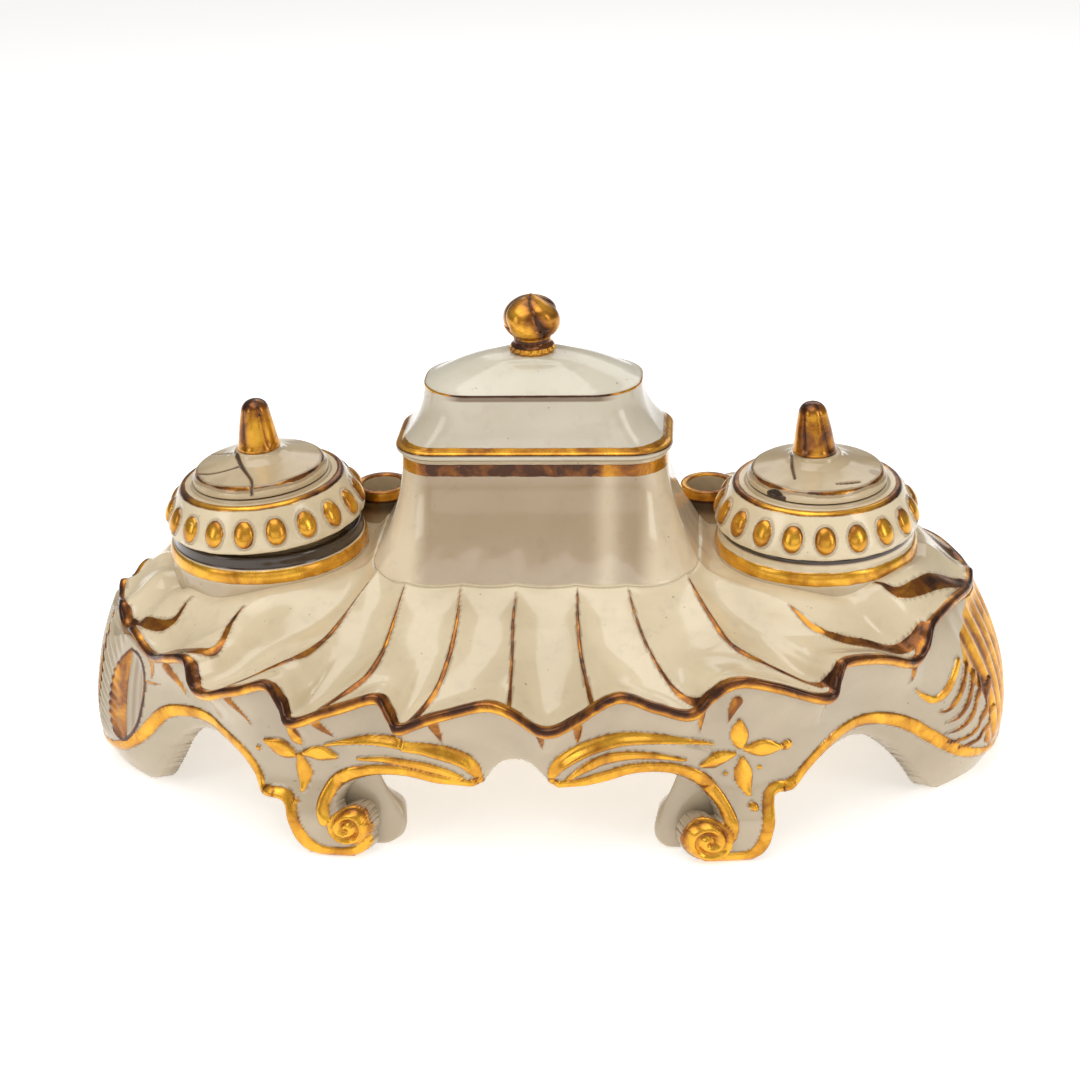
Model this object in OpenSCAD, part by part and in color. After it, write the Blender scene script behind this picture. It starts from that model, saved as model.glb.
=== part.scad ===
// Desk inkstand in glazed, gilded porcelain: a fluted tray on a scrolled apron,
// with a lidded box in the middle, a lift-out ink pot in a well at either side
// and two quill tubes behind.
// Millimetres, +Z up, +X to the right, the front faces -Y. The origin is on the
// table, straight below the middle of the box.

/* [Tray] */
// From the middle to the front or rear rim
rim_front = 77; // [74:0.5:84]
// From the middle to the slanted corner sides of the rim
rim_side = 110; // [107:0.5:116]
// From the middle to the rim at either end
rim_end = 136; // [132:0.5:144]
// Mean height of the rim at the front and rear
rim_z = 51; // [48:0.5:56]
// How much higher the rim is at the ends
rim_rise = 7; // [0:0.5:9]
// Height of the flat deck that the box stands on
deck_z = 70; // [66:0.5:74]
// Height of the level part of the tray round each pot
pot_deck_z = 66.5; // [63:0.5:69]
// Thickness of the tray and the apron
wall = 4.5; // [3.5:0.1:6]
// Greatest depth of the flutes
flute_depth = 3; // [0.5:0.1:3.4]
// Depth of the narrower flutes as a share of their width
flute_hollow = 0.105; // [0.04:0.005:0.12]
// Half height of the scallops round the rim
wave_h = 5; // [0:0.1:5.5]
// How far the scallops swing in and out
wave_r = 2.2; // [0:0.1:3]
// Height of the rim's edge, which carries the gilt lip
lip_h = 3.4; // [2.6:0.1:4]
// How far the gilt lip stands out of the edge
lip_out = 1.8; // [1:0.1:3]

/* [Apron] */
// How far the apron is set in below the rim
apron_inset = 3.5; // [2:0.1:6]
// Height at which the apron meets the tray's hanging edge
join_z = 39; // [37:0.5:41]
// Height of the middle notch of the front and rear edge
notch_z = 31.5; // [29:0.5:34]
// Height of the leaf tips on both sides of the notch
tip_z = 24.2; // [21:0.2:27]
// Rise of the arches between the leaf tips and the legs
arch_rise = 8.9; // [4:0.1:10]
// Rise of the arches between the legs and the end shells
side_rise = 15.6; // [8:0.2:17]

/* [Legs] */
// Height of the scrolled legs
leg_z = 20; // [17:0.5:22]
// How far the legs are turned outwards from the front
leg_turn = 17; // [10:1:24]
// Depth of a leg from front to back
leg_depth = 20; // [14:0.5:26]
// Radius of the volute on a leg
volute_r = 7.2; // [5:0.1:8]
// How far the volute stands out in front of its leg
volute_out = 2.6; // [1:0.1:4]

/* [End shells] */
// How far the shells swell out below the rim
shell_flare = 19; // [10:0.5:24]
// Height of a shell's widest part
shell_belly = 13; // [10:0.5:18]
// Number of grooves across a shell
shell_ribs = 7; // [3:2:9]
// Depth of the grooves
rib_depth = 1.4; // [0:0.1:2]

/* [Box] */
// Half width of the box at its mouth
box_x = 41; // [37:0.5:44]
// Half depth of the box at its mouth
box_y = 18.7; // [17:0.1:21]
// Corner radius of the box at its mouth
box_r = 12; // [10:0.5:15]
// Height of the box's rim
box_top = 103; // [96:0.5:108]
// How far the foot of the box spreads to each end
foot_out_x = 9.5; // [6:0.5:9.5]
// How far the foot of the box spreads to the front and rear
foot_out_y = 17.5; // [10:0.5:18]
// Thickness of the box's walls at the mouth
box_wall = 5; // [4:0.1:6]
// Thickness of the box's floor above the deck
box_floor = 5; // [3:0.5:8]

/* [Box lid] */
// How far the lid's edge stands out over the box
lid_over = 1.7; // [0.5:0.1:2.5]
// Height of the lid's rolled edge
lid_edge = 3.3; // [2.5:0.1:4]
// Height of the lid from the box to its shoulder
lid_h = 20.5; // [16:0.5:24]
// How far the lid's ends draw in towards the shoulder
lid_in_x = 7.6; // [4:0.2:9]
// How far the lid's long sides draw in towards the shoulder
lid_in_y = 1.4; // [1:0.2:3]
// Height of the dome over the shoulder
dome_h = 9; // [4:0.2:10]
// Depth of the ring under the lid that drops into the box
bezel_h = 4; // [2:0.2:5]
// Clearance of that ring in the box, on each side
bezel_gap = 0.7; // [0.4:0.1:1]
// Widest radius of the bud knob
knob_r = 9.2; // [6:0.1:10]
// Height of the bud knob
knob_h = 18; // [12:0.5:20]

/* [Ink pots] */
// Distance of each pot from the middle of the stand
pot_x = 87; // [86:0.5:89]
// Widest radius of a pot's collar
collar_r = 31.5; // [29:0.1:31.5]
// How far the gilt ring round each well stands out beyond the collar
ring_out = 0.2; // [0:0.1:0.4]
// Width of the ledge in each well's mouth, on which the collar rests
ledge = 4.5; // [4:0.1:6]
// Height of the well's rim, where the pot's collar rests
seat_z = 75.5; // [73:0.5:77]
// Depth of each well below its rim
well_deep = 38; // [35:0.5:41]
// Clearance of a pot's cup in its well
cup_gap = 3.8; // [3:0.1:6]
// Wall of a pot's cup
cup_wall = 3.2; // [2.5:0.1:4]
// Depth of the cup below the collar
cup_deep = 32; // [26:0.5:34]
// Height of the collar
collar_h = 14; // [12:0.2:17]
// Width of a pot's shoulder between its lid's edge and its mouth
mouth_in = 7; // [5.5:0.1:9]
// Number of bosses round a collar
bosses = 19; // [13:1:20]
// Radius of a boss
boss_r = 3.4; // [2.5:0.1:3.6]
// Height of a boss
boss_h = 1.4; // [0.8:0.1:1.8]
// Tilt of the left pot, which sits askew in its well
left_tilt = 3.2; // [0:0.1:4]

/* [Pot lids] */
// How far a pot's lid is drawn in from the edge of the collar
lid_in = 10; // [9.5:0.1:11.5]
// Height of the lid's domed top over the pot
pot_lid_h = 9.2; // [7:0.1:11]
// Clearance of the lid's plug in the pot's mouth
plug_gap = 0.6; // [0.3:0.1:1]
// Height of the finial
finial_h = 16; // [12:0.5:22]
// Radius of the finial at its base
finial_r = 6.7; // [4.5:0.1:7]

/* [Quill tubes] */
// Gap between each tube and the gilt ring of its well
tube_gap = 0.92; // [0.6:0.02:1]
// Direction of each tube from its well, measured from the box towards the rear
tube_turn = 36.4; // [36:0.1:38]
// Outer radius of a tube
tube_r = 9; // [8:0.1:9]
// Radius of a tube's bore
tube_bore = 6.5; // [5.5:0.1:7]
// Height of a tube's rim
tube_top = 77.5; // [75:0.5:82]
// Depth of a tube's bore
tube_deep = 42; // [30:0.5:48]

/* [Hidden] */
$fn = 96;

porcelain = [0.88, 0.84, 0.78];
gilt = [0.83, 0.60, 0.14];

// ---- Sizes that follow from the ones above ----
well_r = collar_r + ring_out;
well_bore = collar_r - ledge;
cup_r = well_bore - cup_gap;
lid_r = collar_r - lid_in;
mouth_r = lid_r - mouth_in;
tube_reach = well_r + tube_gap + tube_r;
tube_x = pot_x - tube_reach * cos(tube_turn);
tube_y = tube_reach * sin(tube_turn);

// ---- Plan of the rim: a hexagon with softly rounded corners ----
side_a = 45;         // direction of the slanted sides, from the front
corner_pow = 14;     // the higher, the tighter the corners

// Direction a in plan, in degrees from the front towards +X
function heading(a) = [sin(a), -cos(a)];

// 0 below t = 0 and 1 above t = 1, with a smooth step between
function ease(t) = let (c = min(1, max(0, t))) c * c * (3 - 2 * c);

// Outline of the rim in direction a, drawn in by "inset"
function outline(a, inset = 0) =
    let (c = abs(cos(a)), s = abs(sin(a)))
    pow(pow(c / (rim_front - inset), corner_pow)
        + pow(s / (rim_end - inset), corner_pow)
        + pow((c * cos(side_a) + s * sin(side_a)) / (rim_side - inset), corner_pow),
        -1 / corner_pow) * heading(a);

// Length along the rim against direction, from the middle of the front
rim_run = [for (i = 0, s = 0; i <= 90; s = s + norm(outline(i + 1) - outline(i)), i = i + 1) [s, i]];
rim_quarter = rim_run[90][0];

// ---- Flutes ----
// Each arris between two flutes, from the left end round the front to the right end: its place
// along the rim, in percent of a quarter, at five even steps from the box out to the rim
arrises = [
    [-100, -100, -100, -100, -100], [-79, -79, -79, -79, -87], [-66, -66, -66.5, -65, -70.5],
    [-50.3, -46.2, -44.5, -45.4, -52], [-34.1, -31.3, -29.4, -29.4, -33.5], [-18.6, -16.7, -15.7, -15.8, -17.9],
    [-3.9, -3.6, -2.9, -2.4, -2.1], [12.6, 11.7, 11.2, 11.4, 11.7], [25.8, 25.3, 25.2, 26.1, 29.5],
    [47.4, 44.7, 43.2, 45.9, 53.2], [61.8, 61.8, 62.1, 62.1, 76.3], [78.6, 78.6, 78.6, 79.2, 93.6],
    [100, 100, 100, 100, 100]];
// Columns of points across each flute
flute_cols = [6, 6, 7, 7, 6, 6, 5, 7, 9, 9, 6, 4];

// Columns of the front half, each as its flute and its place across that flute
front_cols = concat([for (i = [0 : len(flute_cols) - 1], k = [0 : flute_cols[i] - 1]) [i, k / flute_cols[i]]],
                    [[len(flute_cols) - 1, 1]]);
half_cols = len(front_cols) - 1;
cols = 2 * half_cols;

// Columns run on round the rear, which mirrors the front
function front_col(j) = let (k = (j + cols) % cols) front_cols[k > half_cols ? cols - k : k];
function across(j) = front_col(j)[1];
function arris(i, v) = let (r = arrises[i]) lookup(v, [for (k = [0 : 4]) [k / 4, r[k]]]);
function place(j, v) = let (c = front_col(j)) arris(c[0], v) * (1 - c[1]) + arris(c[0] + 1, v) * c[1];

// Direction of column j, which shifts between the box and the rim
function toward(percent) = sign(percent) * lookup(abs(percent) * rim_quarter / 100, rim_run);
function column_a(j, v = 1) =
    let (a = toward(place(j, v))) (j + cols) % cols > half_cols ? 180 - a : a;

// ---- Scallops ----
// Lows and highs of the rim: place in percent of a quarter, height in half heights over the mean
rim_waves = [
    [-100, -0.6], [-96, -1.3], [-91, -0.8], [-87, -1.9], [-82, -1.3], [-74, -1.8], [-64, -0.2], [-59, -1.4],
    [-51, 0], [-44, 1.2], [-40, 0.2], [-38, -0.7], [-31, 0.1], [-25, 0.8], [-22, -0.2], [-20, -0.9],
    [-14, -0.2], [-6, 0.5], [-2, -0.1], [4, -1], [10, -0.2], [16, 1], [22, 0.5], [28, 0], [32, 1],
    [37, 1.9], [44, 1.2], [51, -0.2], [54, 0.5], [57, 1], [64, 0.1], [71, -1.3], [75, -0.9], [78, 0.1],
    [86, 0.5], [95, 0], [100, 0.2]];
function wave_lift(j) = wave_h * lookup(place(j, 1), rim_waves);
// Where the rim hangs low it swings out, where it rises it swings in
function wave_swing(j) = wave_h > 0 ? wave_r * max(-1, min(1, 0.25 - 0.83 * wave_lift(j) / wave_h)) : 0;

// Where a ray from the middle at angle a leaves a rounded rectangle
function round_rect(a, hx, hy, r) =
    let (s = abs(sin(a)), c = abs(cos(a)),
         t_end = hx / max(s, 0.001), t_side = hy / max(c, 0.001),
         k = (hx - r) * s + (hy - r) * c,
         m = pow(hx - r, 2) + pow(hy - r, 2) - r * r)
    (t_end * c <= hy - r ? t_end : t_side * s <= hx - r ? t_side
        : k + sqrt(max(0, k * k - m))) * heading(a);

// ---- Surface of the tray ----
// v runs from 0 at the foot of the box to 1 at the rim.
foot_swing = 10;     // the flutes fan out less than rays from the middle would
slope_pow = 1.25;    // hollow of the slope between box and rim
foot_r = box_r + 8;
foot_x = box_x + foot_out_x;
foot_y = box_y + foot_out_y;
pot_skirt = 14;      // width over which the level part round a pot blends away

function rim_base(a) = rim_z + rim_rise * ease((abs(sin(a)) - 0.7) / 0.3);
function foot_pt(a) = round_rect(a + foot_swing * sin(2 * a), foot_x, foot_y, foot_r);
function near_pot(p) =
    1 - ease((norm([abs(p[0]) - pot_x, p[1]]) - well_r - 1) / pot_skirt);

// Plain tray without flutes or scallops, v of the way out in direction a
function plain(a, v) =
    let (p = foot_pt(a) * (1 - v) + outline(a) * v,
         z = rim_base(a) + (deck_z - rim_base(a)) * pow(1 - v, slope_pow),
         k = near_pot(p) * ease(v / 0.06))
    [p[0], p[1], z * (1 - k) + pot_deck_z * k];

function flute_w(j, v) =
    let (i = front_col(j)[0]) (arris(i + 1, v) - arris(i, v)) * rim_quarter / 100;
function flute_drop(j, v) = let (f = across(j)) min(flute_depth, flute_hollow * flute_w(j, v)) * 4 * f * (1 - f);

// Fluted, scalloped surface at column j; near the rim the flutes grow shallow
function surface_pt(j, v) =
    let (a = column_a(j, v), q = plain(a, v), h = heading(a), calm = 1 - near_pot(q), swell = ease((v - 0.4) / 0.6))
    [q[0] + h[0] * wave_swing(j) * swell, q[1] + h[1] * wave_swing(j) * swell,
     q[2] + wave_lift(j) * swell - flute_drop(j, v) * ease(v / 0.22) * calm * (1 - 0.75 * ease((v - 0.8) / 0.2))];

function at_z(p, z) = [p[0], p[1], z];
function drop(p, d) = [p[0], p[1], p[2] - d];

// Faces between closed rings of n points each, first ring and last ring capped
function ring_faces(rings, n) = concat(
    [for (i = [0 : rings - 2], j = [0 : n - 1]) let (k = (j + 1) % n) [i * n + j, i * n + k, (i + 1) * n + k]],
    [for (i = [0 : rings - 2], j = [0 : n - 1]) let (k = (j + 1) % n) [i * n + j, (i + 1) * n + k, (i + 1) * n + j]]);
function caps(rings, n) =
    [[for (j = [n - 1 : -1 : 0]) j], [for (j = [0 : n - 1]) (rings - 1) * n + j]];

// Solid between closed rings, listed from the top outwards, down and round
module ring_solid(rings) {
    n = len(rings[0]);
    polyhedron([for (r = rings, p = r) p], concat(ring_faces(len(rings), n), caps(len(rings), n)));
}

// The underside follows the scallops and stays clear of the flutes
function under(j, v) =
    drop(plain(column_a(j, v), v), wall + flute_depth * ease(v / 0.25) - wave_lift(j) * ease((v - 0.4) / 0.6));
function edge_low(j) = surface_pt(j, 1)[2] - lip_h;
function apron_pt(j, inset, z) = at_z(outline(column_a(j), apron_inset + inset), z);

slope_steps = [0, 0.08, 0.19, 0.34, 0.52, 0.7, 0.87, 1];
under_steps = [0.6, 0.25, 0];

module tray_shell() {
    all = [0 : cols - 1];
    ring_solid(concat(
        [for (v = slope_steps) [for (j = all) surface_pt(j, v)]],
        [[for (j = all) drop(surface_pt(j, 1), lip_h)],
         [for (j = all) apron_pt(j, 0, edge_low(j))],
         [for (j = all) apron_pt(j, 0, join_z)],
         [for (j = all) apron_pt(j, wall, join_z)],
         [for (j = all) apron_pt(j, wall, under(j, 0.9)[2])]],
        [for (v = under_steps) [for (j = all) under(j, v)]]));
}

hole_gap = 0.1;      // the tray's holes round the wells and tubes

module at_pots() for (s = [-1, 1]) translate([s * pot_x, 0, 0]) children();
module at_tubes() for (s = [-1, 1]) translate([s * tube_x, tube_y, 0]) children();

// resize() to no new size leaves the form as it is and makes the cut tray one plain mesh,
// because its holes carry no fit: the wells and tubes that fill them are true rounds
module fluted_tray() color(porcelain) resize([0, 0, 0]) difference() {
    tray_shell();
    at_pots() cylinder(r = well_r + hole_gap, h = box_top);
    at_tubes() cylinder(r = tube_r + hole_gap, h = box_top);
}

// ---- Gilt lip: a rolled moulding on the edge of the rim ----
lip_steps = [-60, 0, 60];
function lip_pt(j, t) =
    let (p = surface_pt(j, 1), h = heading(column_a(j)), o = lip_out * cos(t))
    [p[0] + h[0] * o, p[1] + h[1] * o, p[2] - lip_h / 2 - lip_h / 2 * sin(t)];

module rim_lip() {
    rings = concat([[for (j = [0 : cols - 1]) surface_pt(j, 1)]],
                   [for (t = lip_steps) [for (j = [0 : cols - 1]) lip_pt(j, t)]],
                   [[for (j = [0 : cols - 1]) drop(surface_pt(j, 1), lip_h)]]);
    n = len(rings);
    color(gilt) polyhedron([for (r = rings, p = r) p],
        concat(ring_faces(n, cols), [for (f = ring_faces(2, cols))
            [for (k = [2 : -1 : 0]) f[k] < cols ? f[k] : f[k] + (n - 2) * cols]]));
}

// ---- Apron: a wall round the stand whose lower edge is cut to arches ----
leg_a = 38;          // direction of the leg's inner side
leg_end_a = 50;      // direction of the leg's outer side
tip_a = 7.5;         // direction of the leaf tips
shell_foot_a = 75;   // direction in which a shell reaches the table
shell_top = 1.14 * (rim_z + rim_rise); // height at which a shell's swell would run out
leg_cols = [25, 53]; // columns over the left and right legs, where the aprons meet
shell_cols = [10, 68]; // columns where the left shell ends and the right shell starts

// Angle from the nearer of the front and rear, 0 to 90
function fold(a) = let (m = abs(a) % 180) m > 90 ? 180 - m : m;

// Height of the apron's lower edge in direction a
function edge_z(a) =
    let (b = fold(a), t = (b - tip_a) / (leg_a - tip_a), u = (b - leg_end_a) / (shell_foot_a - leg_end_a))
    b < tip_a ? tip_z + (notch_z - tip_z) * pow(cos(90 * b / tip_a), 2)
    : b < leg_a ? tip_z + (leg_z - tip_z) * t + arch_rise * sin(180 * pow(t, 1.6))
    : b < leg_end_a ? leg_z
    : b < shell_foot_a ? leg_z * (1 - u) + side_rise * sin(180 * pow(u, 0.72))
    : 0;

// Swell of the end shells, strongest at their belly
function swell(a, z) =
    shell_flare * ease((fold(a) - 60) / 22)
    * (z < shell_belly ? 0.3 + 0.7 * sin(90 * z / shell_belly)
       : cos(90 * min(1, (z - shell_belly) / (shell_top - shell_belly))));

groove_a = fold(column_a(shell_cols[1]));
// Grooves that fade out above a shell's belly and at its sides
function groove(j, z) =
    let (t = (fold(column_a(j)) - groove_a) / (90 - groove_a))
    t <= 0 ? 0 : rib_depth * pow(sin(90 * shell_ribs * t), 2) * ease(t * 4) * ease((z - 1) / 8)
        * ease((rim_z - z) / 15);

// Wall between columns j0 and j1, from its lower edge up to "top"
module apron_wall(j0, j1, rows) {
    js = [j0 : j1];
    n = j1 - j0 + 1;
    m = len(rows);
    function p(j, r, inset) =
        let (a = column_a(j), low = edge_z(a), z = low + (join_z - low) * rows[r])
        let (s = swell(a, z))
        at_z(outline(a, apron_inset + inset - s) - (inset > 0 ? 0 : groove(j, z)) * heading(a), z);
    pts = concat([for (r = [0 : m - 1], j = js) p(j, r, 0)], [for (r = [0 : m - 1], j = js) p(j, r, wall)]);
    grid_solid(pts, n, m);
}

// Solid between two grids of n by m points, the outer grid first
module grid_solid(pts, n, m) {
    o = n * m;
    function quad(a, b, c, d) = [[a, b, c], [a, c, d]];
    polyhedron(pts, [for (q = concat(
        [for (r = [0 : m - 2], i = [0 : n - 2]) quad(r * n + i, (r + 1) * n + i, (r + 1) * n + i + 1, r * n + i + 1)],
        [for (r = [0 : m - 2], i = [0 : n - 2])
            quad(o + r * n + i, o + r * n + i + 1, o + (r + 1) * n + i + 1, o + (r + 1) * n + i)],
        [for (i = [0 : n - 2]) quad(i, i + 1, o + i + 1, o + i)],
        [for (i = [0 : n - 2]) quad((m - 1) * n + i, o + (m - 1) * n + i, o + (m - 1) * n + i + 1, (m - 1) * n + i + 1)],
        [for (r = [0 : m - 2]) quad(r * n, o + r * n, o + (r + 1) * n, (r + 1) * n)],
        [for (r = [0 : m - 2])
            quad(r * n + n - 1, (r + 1) * n + n - 1, o + (r + 1) * n + n - 1, o + r * n + n - 1)]), t = q) t]);
}

module front_apron() color(porcelain) apron_wall(leg_cols[0], leg_cols[1], [0, 0.5, 1]);
module rear_apron() mirror([0, 1, 0]) front_apron();
module front_right_side_apron() color(porcelain) apron_wall(leg_cols[1], shell_cols[1], [0, 0.35, 0.7, 1]);
module front_left_side_apron() color(porcelain) apron_wall(shell_cols[0], leg_cols[0], [0, 0.35, 0.7, 1]);
module rear_right_side_apron() mirror([0, 1, 0]) front_right_side_apron();
module rear_left_side_apron() mirror([0, 1, 0]) front_left_side_apron();

// ---- End shells: grooved, swelling feet that reach from the rim to the table ----
shell_rows = [0, 0.1, 0.22, 0.34, 0.5, 0.68, 0.84, 1];
crown_rows = [0, 0.35, 0.7, 1];

// A shell runs from its first to its last column, round an end of the stand
module end_shell(first, last) color(porcelain) union() {
    apron_wall(first, last, shell_rows);
    shell_crown(first, last);
}
module right_end_shell() end_shell(shell_cols[1], cols - shell_cols[1]);
module left_end_shell() end_shell(-shell_cols[0], shell_cols[0]);

// Upper part of a shell, which laps over the tray's hanging edge
module shell_crown(first, last) {
    n = last - first + 1;
    m = len(crown_rows);
    function p(j, r, outer) =
        let (a = column_a(j), z = join_z + (edge_low(j) - join_z) * crown_rows[r], s = swell(a, z))
        at_z(outline(a, apron_inset - (outer ? max(s, 0.4) : 0)) - (outer ? groove(j, z) : 0) * heading(a), z);
    js = [first : last];
    grid_solid(concat([for (r = [0 : m - 1], j = js) p(j, r, true)],
                      [for (r = [0 : m - 1], j = js) p(j, r, false)]), n, m);
}

// ---- Scrolled legs under the corners of the apron ----
leg_at = outline(toward(36), apron_inset);
leg_face = 3;        // how far a leg's face stands out of the apron
scroll_deep = 4;     // thickness of the leg's front scroll
volute_at = [-8.7, volute_r + 1.2];
toe_r = 6.2;
leg_foot = 8.6;      // half width of the leg's outer foot
leg_top_x = 12.3;

// Outer edge of a leg, from the ledge under the apron down to the table
leg_outer = [[leg_top_x, leg_z], [leg_top_x, leg_z * 0.65], [leg_top_x - 0.6, leg_z * 0.32],
             [leg_foot + 1.6, 1.2], [leg_foot, 0]];

module leg_scroll() {
    polygon(concat([[-4.8, leg_z]], leg_outer, [[-8, 0], [-8, volute_r], [-2, volute_r + 3], [-3.6, leg_z * 0.78]]));
    translate(volute_at) circle(volute_r);
}
module leg_body() {
    polygon(concat([[-12.5, leg_z]], leg_outer, [[-15, 0], [-15, toe_r * 2], [-13.2, leg_z * 0.85]]));
    translate([-15, toe_r]) circle(toe_r);
}
module upright(depth) rotate([90, 0, 0]) linear_extrude(depth) children();

module front_right_leg() color(porcelain)
    translate([leg_at[0], leg_at[1], 0]) rotate([0, 0, leg_turn]) {
        translate([0, scroll_deep - leg_face, 0]) upright(scroll_deep) leg_scroll();
        translate([0, leg_depth - leg_face, 0]) upright(leg_depth - scroll_deep) leg_body();
        translate([volute_at[0], -leg_face, volute_at[1]]) rotate([90, 0, 0])
            cylinder(r = volute_r, h = volute_out);
    }
module front_left_leg() mirror([1, 0, 0]) front_right_leg();
module rear_right_leg() mirror([0, 1, 0]) front_right_leg();
module rear_left_leg() mirror([0, 1, 0]) front_left_leg();

// ---- Box: hollow, with walls that spread to the deck in a long cove ----
cove_pow = 2.2;
box_steps = [0, 0.14, 0.28, 0.42, 0.55, 0.67, 0.78, 0.89, 1];
corner_steps = 12;

// Closed ring of a rounded rectangle at height z
function rect_ring(hx, hy, r, z) =
    [for (q = [0 : 3], k = [0 : corner_steps])
        let (a = 90 * q + 90 * k / corner_steps, sx = (q == 0 || q == 3) ? 1 : -1, sy = q < 2 ? 1 : -1)
        [sx * (hx - r) + r * cos(a), sy * (hy - r) + r * sin(a), z]];
module rect_2d(hx, hy, r) polygon([for (p = rect_ring(hx, hy, r, 0)) [p[0], p[1]]]);
module rect_block(hx, hy, r, z0, z1) translate([0, 0, z0]) linear_extrude(z1 - z0) rect_2d(hx, hy, r);

inner_x = box_x - box_wall;
inner_y = box_y - box_wall;
inner_r = box_r - box_wall;

module box_body() color(porcelain) difference() {
    ring_solid([for (t = box_steps) let (k = pow(t, cove_pow))
        rect_ring(box_x + foot_out_x * k, box_y + foot_out_y * k, box_r + (foot_r - box_r) * k,
                  box_top - (box_top - deck_z) * t)]);
    rect_block(inner_x, inner_y, inner_r, deck_z + box_floor, box_top + 1);
    at_tubes() cylinder(r = tube_r, h = box_top);
}

// ---- Box lid: rolled edge, coved sides, shallow dome ----
shoulder_z = box_top + lid_h;
knob_seat_r = 7.5;
lid_shell = 4.5;     // thickness of the lid
cove_steps = [1, 0.75, 0.5, 0.3, 0.15, 0];
dome_steps = [0.4, 0.6, 0.8, 0.96];

function lid_cove(t) = let (k = pow(1 - t, 1.8))
    rect_ring(box_x - lid_in_x + (lid_in_x - 0.2) * k, box_y - lid_in_y + (lid_in_y + 0.9) * k, box_r - 0.5,
              box_top + lid_edge + (lid_h - lid_edge) * t);
function lid_dome(s) = let (hx = (box_x - lid_in_x) * s, hy = max(knob_seat_r + 0.5, (box_y - lid_in_y) * s))
    rect_ring(hx, hy, min(hx, hy, box_r) - 0.2, shoulder_z + dome_h * (1 - pow(s, 2.2)) - dome_h * 0.05);
knob_z = shoulder_z + dome_h * 0.93;

module box_lid() color(porcelain) difference() {
    union() {
        ring_solid(concat(
            [rect_ring(knob_seat_r, knob_seat_r, knob_seat_r - 0.2, knob_z)],
            [for (s = dome_steps) lid_dome(s)],
            [for (t = cove_steps) lid_cove(t)],
            [rect_ring(box_x + lid_over, box_y + lid_over, box_r + 0.8, box_top + lid_edge - 0.9),
             rect_ring(box_x + lid_over, box_y + lid_over, box_r + 0.8, box_top + 0.8),
             rect_ring(box_x + lid_over - 0.8, box_y + lid_over - 0.8, box_r, box_top)]));
        rect_block(inner_x - bezel_gap, inner_y - bezel_gap, inner_r - bezel_gap, box_top - bezel_h, box_top + 1);
    }
    rect_block(box_x - lid_in_x - lid_shell, inner_y - bezel_gap - 2.4, inner_r - 2.4,
               box_top - bezel_h - 1, shoulder_z - lid_shell);
}

// Bud knob on a waisted foot
module box_knob() color(gilt) translate([0, 0, knob_z]) rotate_extrude() polygon(concat(
    [[0, 0], [knob_r * 0.72, 0], [knob_r * 0.76, knob_h * 0.06], [knob_r * 0.72, knob_h * 0.13],
     [knob_r * 0.62, knob_h * 0.18], [knob_r * 0.61, knob_h * 0.24]],
    [for (t = [30 : 15 : 165]) [knob_r * (0.25 + 0.75 * pow(sin(t), 0.8)) * (t > 90 ? sin(t) * 0.6 + 0.4 : 1),
                               knob_h * (0.6 - 0.36 * cos(t))]],
    [[0, knob_h]]));

// ---- Wells: a gilt ring on the tray and a closed cup below it ----
well_wall = 3;
ring_r = well_r - 1.6;
module well() rotate_extrude() polygon([
    [0, seat_z - well_deep - well_wall], [well_bore + well_wall, seat_z - well_deep - well_wall],
    [well_bore + well_wall, pot_deck_z - wall - flute_depth - 2], [well_r, pot_deck_z - wall - flute_depth],
    [well_r, pot_deck_z + 3], [well_r - 0.5, pot_deck_z + 4.6], [ring_r, pot_deck_z + 5.4],
    [ring_r, seat_z], [well_bore, seat_z], [well_bore, seat_z - well_deep], [0, seat_z - well_deep]]);
module left_well() color(porcelain) translate([-pot_x, 0, 0]) well();
module right_well() color(porcelain) translate([pot_x, 0, 0]) well();

// ---- Quill tubes: open above, closed below ----
module quill_tube() difference() {
    translate([0, 0, tube_top - tube_deep - 3]) cylinder(r = tube_r, h = tube_deep + 3);
    translate([0, 0, tube_top - tube_deep]) cylinder(r = tube_bore, h = tube_deep + 1);
}
module left_quill_tube() color(porcelain) translate([-tube_x, tube_y, 0]) quill_tube();
module right_quill_tube() color(porcelain) translate([tube_x, tube_y, 0]) quill_tube();

// ---- Ink pots: a straight cup in a flared collar, drawn at the right-hand well ----
pot_top = seat_z + collar_h;
cup_in = cup_r - cup_wall;
collar_rise = 1.6;   // height of the collar's upright edge
brow_z = pot_top - 0.8;
module cup() rotate_extrude() polygon([
    [0, seat_z - cup_deep], [cup_r - 1.5, seat_z - cup_deep], [cup_r, seat_z - cup_deep + 1.5],
    [cup_r, brow_z], [lid_r + 0.9, pot_top - 0.6], [lid_r + 0.5, pot_top], [mouth_r, pot_top],
    [mouth_r, pot_top - 5.5], [cup_in, pot_top - 9.5], [cup_in, seat_z - cup_deep + cup_wall],
    [0, seat_z - cup_deep + cup_wall]]);
boss_at = [collar_r - 1.6, seat_z + collar_h * 0.43];
boss_lean = 25;      // direction in which a boss faces, upwards from level
boss_sunk = 0.8;
right_boss_a = 7;    // direction of a first boss on each pot
left_boss_a = 4;
module boss() rotate_extrude() polygon([
    [0, -boss_sunk], [boss_r, -boss_sunk], [boss_r, 0], [boss_r * 0.9, boss_h * 0.42], [boss_r * 0.68, boss_h * 0.76],
    [boss_r * 0.36, boss_h * 0.95], [0, boss_h]]);
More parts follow.
